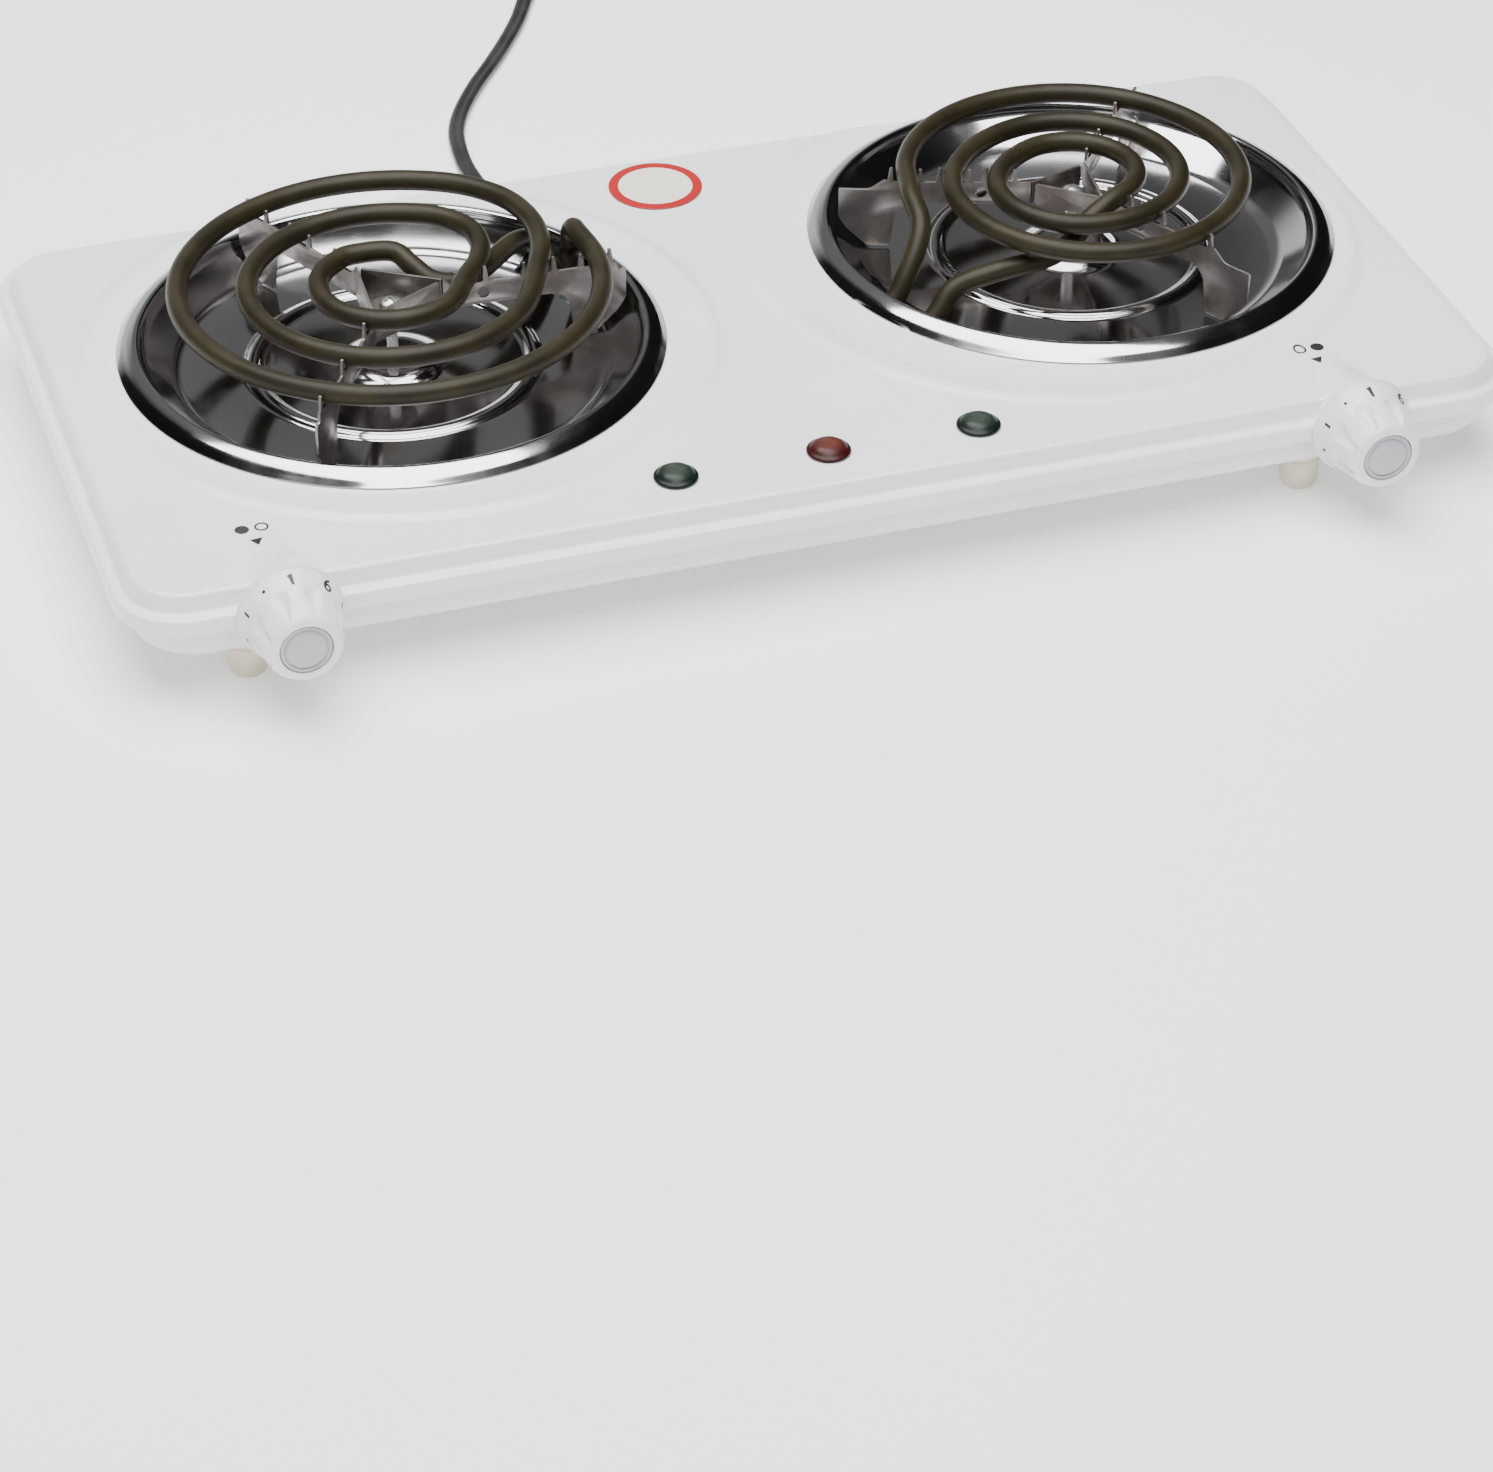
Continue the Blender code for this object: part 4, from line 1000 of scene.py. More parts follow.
def plate_net(half, radius, x_lines, y_lines, top_height, rims):
    """Builds the net. rims are (outwards, function of x, y and the last height) rows round the edge."""
    bm = bmesh.new()
    grid = []
    for y in y_lines:
        row = []
        for x in x_lines:
            px, py = corner_rounded(x, y, half, radius)
            row.append(bm.verts.new((px, py, top_height(px, py))))
        grid.append(row)
    for row, after in zip(grid, grid[1:]):
        for index in range(len(row) - 1):
            bm.faces.new((row[index], row[index + 1], after[index + 1], after[index]))
    loop = grid[0][:-1] + [row[-1] for row in grid[:-1]] + grid[-1][:0:-1] + [row[0] for row in grid[:0:-1]]
    outwards = []
    for vertex in loop:
        inner = Vector((min(max(vertex.co.x, radius - half.x), half.x - radius),
                        min(max(vertex.co.y, radius - half.y), half.y - radius)))
        outwards.append((vertex.co.xy - inner).normalized())
    base = [vertex.co.copy() for vertex in loop]
    for out, height in rims:
        after = []
        for start, outward, below in zip(base, outwards, loop):
            x, y = start.xy + outward * out
            after.append(bm.verts.new((x, y, height(x, y, below.co.z))))
        for index in range(len(loop)):
            other = (index + 1) % len(loop)
            bm.faces.new((loop[index], after[index], after[other], loop[other]))
        loop = after
    return bm


def rim_row(out, z):
    return out + CREASE, lambda x, y, last: boss_height(x, y, z)


def crease_rows():
    rows = []
    for step in range(1, 7):
        angle = math.radians(90 * step / 6)
        rows.append(rim_row(CREASE * (math.sin(angle) - 1), PLATE_TOP_Z - CREASE * (1 - math.cos(angle))))
    rows += [rim_row(0.0007, 0.0366), rim_row(0.0012, 0.0353), rim_row(0.0016, 0.0346), rim_row(0.0022, 0.0342)]
    rows += [rim_row(0.0030, LEDGE_Z), rim_row(0.0040, LEDGE_Z)]
    for step in range(1, 5):
        angle = math.radians(90 * step / 5)
        rows.append(rim_row(FLANGE_OUT - 0.0012 * (1 - math.sin(angle)), LEDGE_Z - 0.0012 * (1 - math.cos(angle))))
    return rows


def skirt_rows(count=9):
    """Rows from the flange's edge down to the skirt's bottom, which follows the tongues."""
    rows = []
    for step in range(1, count + 1):
        share = 1 / (count + 1 - step)
        rows.append((FLANGE_OUT + CREASE, lambda x, y, last, s=share: last + (skirt_bottom(x, y) - last) * s))
    return rows


inner_half = PLATE_HALF - Vector((CREASE, CREASE))
dense_x = [(DIAL_X[side] - 0.022, DIAL_X[side] + 0.022) for side in SIDES]
x_lines = spread_lines(-inner_half.x, inner_half.x, GRID_STEP, dense_x)
y_lines = spread_lines(-inner_half.y, inner_half.y, GRID_STEP, [(-0.1145, -0.0880)])
net = plate_net(
    inner_half,
    PLATE_CORNER - CREASE,
    x_lines,
    y_lines,
    sheet_height,
    crease_rows() + skirt_rows(),
)
top_plate = mesh_object("enamelled_top", net, ENAMEL)
top_plate.location = PLATE_MIDDLE
print("top plate net", len(x_lines), "by", len(y_lines))

# %% [markdown]
# Solidify thickens the skin inwards. Then the two pan holes, the three lamp holes and the two shaft
# holes are punched.

# %% Top plate: thickness and holes
PAN_HOLE_R = 0.0895
LAMP_HOLE_R = 0.0064
SHAFT_HOLE_R = 0.0044


def punch(radius, low, high, at, turn=(0, 0, 0), segments=64):
    tool = lathe("punch", [(0, low), (radius, low), (radius, high), (0, high)], ENAMEL, segments)
    tool.location = at
    tool.rotation_euler = turn
    return tool


thickness = top_plate.modifiers.new("sheet", "SOLIDIFY")
thickness.thickness = SHEET
thickness.offset = -1 if top_plate.data.polygons[0].normal.z > 0 else 1
settle(top_plate)
punches = [punch(PAN_HOLE_R, 0.025, 0.055, BURNER_AT[side], segments=160) for side in SIDES]
punches += [punch(LAMP_HOLE_R, 0.025, 0.055, middle_of(f"lens_{number}").xy.to_3d()) for number in (1, 2, 3)]
for side in SIDES:
    punches.append(punch(SHAFT_HOLE_R, -0.012, 0.012, (DIAL_X[side], DIAL_AT[side].z, DIAL_Z), FRONT))
cut(top_plate, punches, solver="MANIFOLD")
finish_piece(top_plate, HOUSING, "white_enamel", "top_plate")

# %% [markdown]
# ## The base pan
# The lower half is a shallow tray that sits inside the skirt. Its walls stand nearly upright, roll into
# the floor with a wide bend, and the floor has one long pressed panel so that it doesn't drum. The
# front wall is notched where the regulators' necks come through, and the back wall has the lead's hole.

# %% Base pan
BASE_HALF = Vector((0.2415, 0.1185))
BASE_CORNER = 0.0225
BASE_LIP_Z = 0.0315
BASE_BOTTOM_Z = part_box("base_pan")[0].z
BASE_FLOOR = {"half": Vector((0.2335, 0.1105)), "corner": 0.0145}
NOTCH_R = 0.0115
LEAD_HOLE_R = 0.0044
BASE_PRESS = {"half": Vector((0.195, 0.075)), "rise": 0.0012, "width": 0.006}


def base_floor_height(x, y):
    """The tray's floor, raised a little inside the pressed panel."""
    inside = min(BASE_PRESS["half"].x - abs(x), BASE_PRESS["half"].y - abs(y)) / BASE_PRESS["width"] + 0.5
    return BASE_BOTTOM_Z + BASE_PRESS["rise"] * eased(min(max(inside, 0), 1))


def tray_rows():
    """The bend from floor to wall, the wall and the lip."""
    wall_out = BASE_HALF.x - BASE_FLOOR["half"].x
    rows = []
    for out, z in ((0.0025, 0.01515), (0.0045, 0.0157), (0.0060, 0.0168), (0.0071, 0.0185), (0.0078, 0.0206)):
        rows.append((out, lambda x, y, last, z=z: z))
    for z in (0.0235, 0.0262, 0.0290, BASE_LIP_Z):
        rows.append((wall_out, lambda x, y, last, z=z: z))
    return rows


x_lines = spread_lines(-BASE_FLOOR["half"].x, BASE_FLOOR["half"].x, 0.004, [])
y_lines = spread_lines(-BASE_FLOOR["half"].y, BASE_FLOOR["half"].y, 0.004, [])
net = plate_net(BASE_FLOOR["half"], BASE_FLOOR["corner"], x_lines, y_lines, base_floor_height, tray_rows())
base_pan = mesh_object("enamelled_base", net, ENAMEL)
base_pan.location = PLATE_MIDDLE
thickness = base_pan.modifiers.new("sheet", "SOLIDIFY")
thickness.thickness = SHEET - 0.0001
thickness.offset = -1 if base_pan.data.polygons[0].normal.z < 0 else 1
settle(base_pan)
punches = [punch(NOTCH_R, -0.008, 0.008, (DIAL_X[side], PLATE_MIDDLE.y - BASE_HALF.y, DIAL_Z), FRONT) for side in SIDES]
punches.append(punch(LEAD_HOLE_R, -0.006, 0.006, place(LEAD_ROUTE[0][0], BASE_HALF.y, LEAD_EXIT_Z), FRONT))
for name in frame["nodes"]:
    if name.startswith(("foot_screw", "case_screw")):
        punches.append(punch(0.0022, 0.010, 0.020, middle_of(name).xy.to_3d(), segments=24))
cut(base_pan, punches, solver="MANIFOLD")
finish_piece(base_pan, HOUSING, "white_enamel", "base_pan")

# %% [markdown]
# ## The drip pans
# Each pan is spun from thin sheet and chromed: a rolled rim that rests on the plate, a sloping wall, a
# flat floor with a pressed ring, and a raised middle round the burner's screw. Turning a profile gives
# exactly the smooth round walls that chrome needs, since its reflections show every flat facet. One
# window is cut in the wall for the coil's two legs.

# %% Drip pans
PAN_SHEET = 0.0008
PAN_FLOOR_Z = 0.0310
PAN_FLOOR_R = 0.0755
PAN_RIM_R = 0.0960
PAN_SEGMENTS = 224
LEG_ANGLE = {"left": 24, "right": -156}
LEG_SPREAD = {"left": 0.0145, "right": 0.0095}


def pan_profile():
    """The pan's cut edge, from the middle hole out over the rim and back underneath."""
    top = PLATE_TOP_Z
    floor = PAN_FLOOR_Z
    sheet = PAN_SHEET
    upper = [(0.0024, floor + 0.0030), (0.0060, floor + 0.0030, 0.001), (0.0140, floor + 0.0034, 0.003)]
    upper += [(0.0182, floor + sheet, 0.0022), (0.0458, floor + sheet, 0.0012), (0.0476, floor + 0.0026, 0.0012)]
    upper += [(0.0504, floor + 0.0026, 0.0012), (0.0522, floor + sheet, 0.0012)]
    upper += [(PAN_FLOOR_R, floor + sheet, 0.0030), (0.0864, top + 0.0012, 0.0018), (0.0878, top + 0.0046, 0.0016)]
    upper += [(0.0894, top + 0.0049, 0.0012), (0.0930, top + 0.0034, 0.0060), (0.0954, top + 0.0009, 0.0010), (PAN_RIM_R, top + GAP, 0.0004)]
    lower = [(0.0944, top + GAP), (0.0893, top + 0.0037, 0.0010), (0.0886, top + 0.0036, 0.0006)]
    lower += [(0.0874, top + 0.0006, 0.0014), (PAN_FLOOR_R + 0.0004, floor, 0.0030)]
    lower += [(0.0526, floor, 0.0010), (0.0508, floor + 0.0018, 0.0010), (0.0472, floor + 0.0018, 0.0010)]
    lower += [(0.0454, floor, 0.0010), (0.0178, floor, 0.0020), (0.0137, floor + 0.0026, 0.0026)]
    lower += [(0.0060, floor + 0.0022, 0.001), (0.0024, floor + 0.0022)]
    return rounded(upper + lower, steps=6)


def leg_window(side):
    """The cutter for the legs' window: a block with rounded ends, laid across the wall."""
    half = LEG_SPREAD[side] + 0.0062
    low, high = PAN_FLOOR_Z - 0.004, PLATE_TOP_Z + 0.0012
    outline = rounded([(-half, low), (half, low), (half, high, 0.004), (-half, high, 0.004)], steps=8)
    rows = [[Vector((x, y, z)) for y, z in outline] for x in (0.0715, 0.0950)]
    tool = skin("window", rows, CHROME)
    tool.location = BURNER_AT[side]
    tool.rotation_euler = (0, 0, math.radians(LEG_ANGLE[side]))
    return tool


for side in SIDES:
    pan = lathe("spun_pan_" + side, [tuple(point) for point in pan_profile()], CHROME, PAN_SEGMENTS)
    pan.location = BURNER_AT[side]
    cut(pan, [leg_window(side)], solver="MANIFOLD")
    finish_piece(pan, HOUSING, "chrome", "drip_pan_" + side)

# %% [markdown]
# ## The coils
# Each element is one long tube: a leg comes up from the terminal block, winds inwards in three turns,
# and its other end dives under the turns and runs back to the block. The turns are worked out from a
# short table of angles and radii, with an eased S-bend between one turn and the next. Only the two legs
# have points of their own. The route matches the CAD solid, and it is drawn with many more sections.

# %% Coils
TUBE_R = 0.0037
COIL_Z = 0.0630
LEG_Z = 0.0280
BLOCK_NEAR_R = 0.1000
# the angle in degrees and the radius in mm at the ends of each stretch, from outside to inside
TURNS = {
    "left": [(12, 73.5), (-305, 73.5), (-380, 49.5), (-665, 49.5), (-740, 24.8), (-970, 24.8)],
    "right": [(172, 60.5), (-70, 60.5), (-250, 38.4), (-465, 38.4), (-600, 22.8), (-785, 22.8)],
}
# the legs' points: distance from the middle in mm, angle in degrees, height in mm
OUTER_LEG = {
    "left": [(74.6, 15.5, 62.1), (75.2, 17.6, 58.0), (75.6, 17.8, 49.5), (79.3, 17.0, 37.6), (87, 15.0, 30.2)],
    "right": [(61.6, 179, 62.4), (63.5, 190, 59.0), (68.5, 195, 53.0), (76, 197.6, 44.0), (83.5, 198.2, 34.5)],
}
INNER_LEG = {
    "left": [(23.5, 74, 62.4), (19.2, 52, 59.8), (19.8, 28, 56.2), (28, 17, 54.6), (42, 23, 54.3),
             (60, 30, 53.6), (72, 32, 49.0), (79.3, 31.6, 38.0), (87, 32, 30.2)],
    "right": [(23.8, 278, 61.4), (27.5, 258, 57.2), (37, 247, 54.6), (48, 237, 53.8), (60, 222, 51.5),
              (71, 213, 46.5), (79.5, 211.5, 38.0), (87, 208.5, 31.0)],
}


def polar(radius, degrees, z=0.0):
    angle = math.radians(degrees)
    return Vector((radius * math.cos(angle), radius * math.sin(angle), z))


def in_mm(radius, degrees, height):
    return polar(radius / 1000, degrees, height / 1000)


def coil_points(side):
    across = polar(1, LEG_ANGLE[side] + 90) * LEG_SPREAD[side]
    leg_end = polar(BLOCK_NEAR_R + 0.010, LEG_ANGLE[side], LEG_Z)
    leg_rise = polar(0.096, LEG_ANGLE[side], LEG_Z + 0.0002)
    points = [leg_end - across, leg_rise - across]
    points += [in_mm(*point) for point in reversed(OUTER_LEG[side])]
    for (start, r_start), (end, r_end) in zip(TURNS[side], TURNS[side][1:]):
        count = max(2, round((start - end) / 15))
        for step in range(count):
            t = step / count
            radius = r_start + (r_end - r_start) * eased(t)
            points.append(in_mm(radius, start + (end - start) * t, COIL_Z * 1000))
    points.append(in_mm(TURNS[side][-1][1], TURNS[side][-1][0], COIL_Z * 1000))
    points += [in_mm(*point) for point in INNER_LEG[side]]
    return points + [leg_rise + across, leg_end + across]


for side in SIDES:
    path = smooth_route(coil_points(side), 0.0022)
    coil = sweep("element_" + side, path, circle(TUBE_R, 28), SHEATH, smooth_angle=60)
    finish_piece(coil, HOUSING, "coil_sheath", "coil_" + side, at=BURNER_AT[side])
    print("element", side, "length", round(length_of(path), 3))

# %% [markdown]
# ## The supports
# Under each coil stand three strips of 1 mm steel, on edge. Each strip is stamped with a notch for
# every turn and a thin finger on either side of it, so the tube sits in the notch between the fingers.
# The outer end widens to a shoulder, and its foot stands on the pan's floor. At the middle each strip
# folds along one side of a triangle round the screw. The outline is stamped flat and stood up on edge.

# %% Support arms
ARM_SHEET = 0.0010
ARM_BOTTOM_Z = 0.0500
ARM_SEAT_Z = COIL_Z - TUBE_R - 0.0005
ARM_TIP_Z = 0.0645
ARM_END_R = 0.0845
ARM_SHOULDER_Z = 0.0560
ARMS = {"left": (-1.5, 115.5, -121.5), "right": (162, 52, -64)}
HUB_R = {"left": 0.0185, "right": 0.0150}
FOLD_TOP_Z = {"left": 0.0620, "right": 0.0590}
ARM_HOLE = {"at": (0.0330, 0.0545), "radius": 0.0022}


def turn_radii(side, degrees):
    """Where the winding crosses a direction, in metres, from inside to outside."""
    found = []
    for (start, r_start), (end, r_end) in zip(TURNS[side], TURNS[side][1:]):
        angle = degrees + 360
        while angle > start:
            angle -= 360
        while angle > end:
            found.append((r_start + (r_end - r_start) * eased((start - angle) / (start - end))) / 1000)
            angle -= 360
    return sorted(found)


def arm_outline(side, degrees):
    """(distance from the middle, height) round the strip, starting at its inner lower corner."""
    radii = turn_radii(side, degrees)
    hub_r = HUB_R[side]
    seat = TUBE_R + 0.0006
    points = [(hub_r, ARM_BOTTOM_Z), (0.0600, ARM_BOTTOM_Z, 0.002), (0.0640, 0.0460, 0.002)]
    points += [(0.0655, 0.0328, 0.001), (0.0740, 0.0328, 0.001), (0.0815, 0.0398, 0.001), (ARM_END_R, 0.0445)]
    points += [(ARM_END_R, ARM_SHOULDER_Z, 0.0006)]
    outer = radii[-1] + seat
    if outer + 0.0060 < ARM_END_R:
        points += [(min(outer + 0.0085, ARM_END_R - 0.0030), ARM_SHOULDER_Z - 0.0003, 0.0015)]
    points += [(outer + 0.0030, ARM_SEAT_Z + 0.0010, 0.0012)]
    for radius in reversed(radii):
        edge = radius + seat
        points += [(edge + 0.0022, ARM_SEAT_Z, 0.0008), (edge + 0.0014, ARM_TIP_Z, 0.0005)]
        points += [(edge + 0.0002, ARM_TIP_Z, 0.0005), (edge, ARM_SEAT_Z, 0.0006)]
        edge = radius - seat
        if edge - 0.0024 > hub_r:
            points += [(edge, ARM_SEAT_Z, 0.0006), (edge - 0.0004, ARM_TIP_Z - 0.0006, 0.0005)]
            points += [(edge - 0.0016, ARM_TIP_Z - 0.0006, 0.0005), (edge - 0.0022, ARM_SEAT_Z, 0.0008)]
    if radii[0] - seat - 0.0024 <= hub_r:
        points += [(radii[0] - seat, ARM_SEAT_Z, 0.0006)]
    points += [(hub_r, FOLD_TOP_Z[side] - 0.0002)]
    return rounded(points, steps=4)


def fold_length(side, number):
    """How far the strip's inner end runs along its side of the triangle."""
    here, there = (polar(HUB_R[side], ARMS[side][(number + more) % 3]) for more in (0, 1))
    along = there - here
    return along.length - 0.0018, math.degrees(math.atan2(along.y, along.x))


for side in SIDES:
    for number, degrees in enumerate(ARMS[side]):
        outline = arm_outline(side, degrees)
        hole = [(ARM_HOLE["at"][0] + a, ARM_HOLE["at"][1] + b) for a, b in circle(ARM_HOLE["radius"], 24)]
        arm = cut_sheet(f"support_{side}_{number + 1}", [outline, hole], ARM_SHEET, STEEL)
        reach, heading = fold_length(side, number)
        top = FOLD_TOP_Z[side]
        inner = [(0.0002, ARM_BOTTOM_Z + 0.0002), (reach, ARM_BOTTOM_Z + 0.0002, 0.001)]
        inner += [(reach, top - 0.0004, 0.001), (0.0002, top - 0.0002)]
        fold = cut_sheet("fold", [rounded(inner, steps=4)], ARM_SHEET, STEEL)
        reshape(arm, lambda co: Vector((co.x, -co.z, co.y)))
        corner = polar(HUB_R[side], degrees)
        bend = Matrix.Rotation(math.radians(heading), 3, "Z")
        back = Matrix.Rotation(math.radians(-degrees), 3, "Z")
        reshape(fold, lambda co: back @ (bend @ Vector((co.x, -co.z, co.y)) + corner))
        union = arm.modifiers.new("fold", "BOOLEAN")
        union.operation = "UNION"
        union.object = fold
        settle(arm)
        bpy.data.objects.remove(fold)
        turn = (0, 0, math.radians(degrees))
        finish_piece(arm, HOUSING, "support_steel", f"arm_{side}_{number + 1}", at=BURNER_AT[side], turn=turn)

# %% [markdown]
# ## The burner's screw
# A long threaded rod holds each burner down. Its slotted round head sits inside the triangle on a small
# plate, and the thread shows between the strips and the pan. The thread is cut by the lathe's rule: the
# radius follows a saw-tooth that climbs one pitch with every turn round the axis.

# %% Hub plates, rods and their heads
ROD_R = 0.0020
THREAD = {"pitch": 0.0009, "painted_rim_shade": 0.00030}
HEAD = {"under": 0.0543, "top": 0.0572, "radius": 0.0040, "slot": 0.0009}


def threaded(radius, height, angle):
    """The rod's radius where the thread runs, and the plain radius elsewhere."""
    if radius > ROD_R + 1e-6 or not 0.0185 < height < HEAD["under"] - 0.0002:
        return radius
    phase = (height / THREAD["pitch"] - angle / math.tau) % 1
    return radius - THREAD["painted_rim_shade"] * abs(2 * phase - 1)


for side in SIDES:
    arms = ARMS[side]
    widest = max(min((a - b) % 360, (b - a) % 360) for a, b in zip(arms, arms[1:] + arms[:1]))
    disc_r = HUB_R[side] * math.cos(math.radians(widest / 2)) - ARM_SHEET / 2 - 2 * GAP
    profile = [(0.0023, 0.0528), (disc_r, 0.0528, 0.0003), (disc_r, 0.0540, 0.0003), (0.0023, 0.0540)]
    washer = lathe("hub_washer_" + side, [tuple(point) for point in rounded(profile)], STEEL, 64)
    finish_piece(washer, HOUSING, "support_steel", "hub_plate_" + side, at=BURNER_AT[side])
    turns = round((HEAD["under"] - 0.018) / (THREAD["pitch"] / 8))
    rod = [(0, 0.0180)] + [(ROD_R, 0.0180 + (HEAD["under"] - 0.0180) * step / turns) for step in range(turns + 1)]
    head = [(ROD_R, HEAD["under"]), (HEAD["radius"], HEAD["under"], 0.0004)]
    head += [(HEAD["radius"], HEAD["top"] - 0.0012, 0.0018), (0.0012, HEAD["top"]), (0, HEAD["top"])]
    profile = rod + [tuple(point) for point in rounded(head, closed=False, steps=6)][1:]
    bolt = lathe("burner_screw_" + side, profile, ZINC, 40, radius_at=threaded, smooth_angle=50)
    slots = []
    for degrees in (20, 110):
        slot = cut_sheet("slot", [[(-0.0027, 0), (0.0027, 0), (0.0020, 0.0040), (-0.0020, 0.0040)]], HEAD["slot"], ZINC)
        reshape(slot, lambda co: Vector((co.x, -co.z, co.y + HEAD["top"] - 0.0016)))
        slot.rotation_euler = (0, 0, math.radians(degrees))
        slots.append(slot)
    cut(bolt, slots, smooth_angle=50)
    finish_piece(bolt, HOUSING, "zinc_screws", "hub_bolt_" + side, at=BURNER_AT[side])

# %% [markdown]
# ## The dials
# A dial is one moulding: a thin flange with a groove behind it, a smooth skirt that carries the marks,
# and a grip with eight flutes that start a third of the way up and run out under the rounded front. The
# flutes come from a rule on the lathe's radius: each is a drop-shaped scoop with crisp edges, round at
# the back and pointed at the nose. The back is hollow and has a hub for the shaft.

# %% Dials
KNOB_LENGTH = 0.0229
KNOB_BASE_R = 0.0179
KNOB_FACE_R = 0.0112
CAP_R = 0.0086
CAP_PROUD = 0.0006
SHAFT_R = 0.0030
FLUTES = {"count": 8, "painted_rim_shade": 0.0016, "start": 0.0084, "end": 0.0214, "half_width": 0.34, "round": 0.18}


def knob_profile():
    length = KNOB_LENGTH
    outer = [(0.0160, 0.0006), (0.0165, 0, 0.0003), (KNOB_BASE_R, 0, 0.0004), (KNOB_BASE_R, 0.0011, 0.0003)]
    outer += [(KNOB_BASE_R - 0.0006, 0.0013, 0.0002), (KNOB_BASE_R - 0.0006, 0.0017, 0.0002)]
    outer += [(KNOB_BASE_R - 0.0001, 0.0020, 0.0003), (0.0171, 0.0029, 0.0006), (0.0153, 0.0080, 0.0030)]
    outer += [(0.0141, 0.0140, 0.0040)]
    outer += [(0.0131, length - 0.0030, 0.0025), (KNOB_FACE_R, length, 0.0024), (CAP_R + GAP, length, 0.0003)]
    outer += [(CAP_R + GAP, length - 0.0020)]
    inner = [(0, length - 0.0020), (0, 0.0135), (SHAFT_R + GAP, 0.0135), (SHAFT_R + GAP, 0.0006, 0.0002)]
    inner += [(0.0058, 0.0006, 0.0002), (0.0062, 0.0120, 0.001), (0.0118, 0.0120, 0.001), (0.0150, 0.0010, 0.0004)]
    return [tuple(point) for point in rounded(inner[1:] + outer + inner[:1], steps=8)]


def refine(profile, longest):
    """Adds points so that no step along a profile is longer than the given length."""
    made = [profile[0]]
    for start, end in zip(profile, profile[1:]):
        count = max(1, math.ceil(math.dist(start, end) / longest))
        made += [tuple(a + (b - a) * step / count for a, b in zip(start, end)) for step in range(1, count + 1)]
    return made


def fluted(radius, height, angle):
    """Presses the flutes in the grip's outer wall."""
    if radius < KNOB_FACE_R or height < FLUTES["start"]:
        return radius
    t = (height - FLUTES["start"]) / (FLUTES["end"] - FLUTES["start"])
    if t >= 1:
        return radius
    width = FLUTES["half_width"] * math.sqrt(min(t / FLUTES["round"], 1)) * (1 - t) ** 0.55
    across = (angle * FLUTES["count"] / math.tau) % 1 - 0.5
    if abs(across) >= width:
        return radius
    return radius - FLUTES["painted_rim_shade"] * min(t / FLUTES["round"], 1) * (1 - (across / width) ** 2)


for side in SIDES:
    body = "dial_" + side
    at = (DIAL_X[side], DIAL_AT[side].z, DIAL_Z)
    knob = lathe("dial_knob_" + side, refine(knob_profile(), 0.0005), KNOB_PLASTIC, 256, fluted, 26)
    finish_piece(knob, body, "white_plastic", "knob_" + side, at=at, turn=FRONT)
    low = KNOB_LENGTH - 0.0020 + GAP
    face = KNOB_LENGTH + CAP_PROUD
    cap = [(0, low), (CAP_R, low), (CAP_R, KNOB_LENGTH - 0.0004, 0.0004), (CAP_R - 0.0011, KNOB_LENGTH - 0.0003, 0.0002)]
    cap += [(CAP_R - 0.0013, KNOB_LENGTH - 0.0008, 0.0002), (CAP_R - 0.0017, KNOB_LENGTH - 0.0008, 0.0002)]
    cap += [(CAP_R - 0.0021, face - 0.0006, 0.0005), (0.0040, face - 0.0001, 0.0018), (0, face)]
    cap = lathe("dial_cap_" + side, [tuple(point) for point in rounded(cap, closed=False)], CAP_PLASTIC, 96)
    finish_piece(cap, body, "grey_cap", "knob_cap_" + side, at=at, turn=FRONT)

# %% [markdown]
# ## The dial's marks
# The marks are pad-printed: a thin film of black ink on the curved skirt. Each mark is stamped flat and
# then bent round the cone, a few hundredths of a millimetre proud of it. There are plain numbers at the
# two ends of the scale, and dots and ticks between them.

# %% Printed marks on the dials
INK = 0.00004
MARK_MIDDLE = 0.0056  # how far in front of the flange the marks' middle lies
SCALE_SWEEP = 315
SCALE_STEPS = 9


SKIRT = [point for point in refine(knob_profile(), 0.0005) if point[0] > 0.0145 and 0.0025 < point[1] < 0.0120]


def skirt_radius(height):
    """The dial's outer radius at a height, read off its own profile."""
    for start, end in zip(SKIRT, SKIRT[1:]):
        if start[1] <= height <= end[1]:
            t = (height - start[1]) / max(end[1] - start[1], 1e-9)
            return start[0] + (end[0] - start[0]) * t
    return SKIRT[-1][0]


DIGIT_LINE = 0.0009
DIGITS = {
    "one": [(-0.0011, 0.0012), (0.0001, 0.0021), (0.0001, -0.0021)],
    "six": [(-0.0011, -0.0007), (-0.0010, 0.0006), (-0.0003, 0.0015), (0.0009, 0.0021)],
}
BOWL = {"middle": (0.0002, -0.0008), "outer": 0.0016, "inner": 0.0007}


def stroke(points, width):
    """The outline of a line of even width through some points, with mitred bends."""
    sides = ([], [])
    for number, point in enumerate(points):
        before = Vector(points[max(number - 1, 0)])
        after = Vector(points[min(number + 1, len(points) - 1)])
        along = (after - before).normalized()
        for outline, sign in zip(sides, (-1, 1)):
            outline.append((point[0] - sign * along.y * width / 2, point[1] + sign * along.x * width / 2))
    return sides[0] + sides[1][::-1]


def digit(name):
    """A plain bold figure, one or six."""
    made = [cut_sheet(name, [stroke(DIGITS[name], DIGIT_LINE)], 2 * INK, BLACK_INK, 0.00001)]
    if name == "six":
        x, y = BOWL["middle"]
        rings = [[(x + a, y + b) for a, b in circle(BOWL[edge], 24)] for edge in ("outer", "inner")]
        made.append(cut_sheet("bowl", rings, 2 * INK, BLACK_INK, 0.00001))
    return join(name, made)


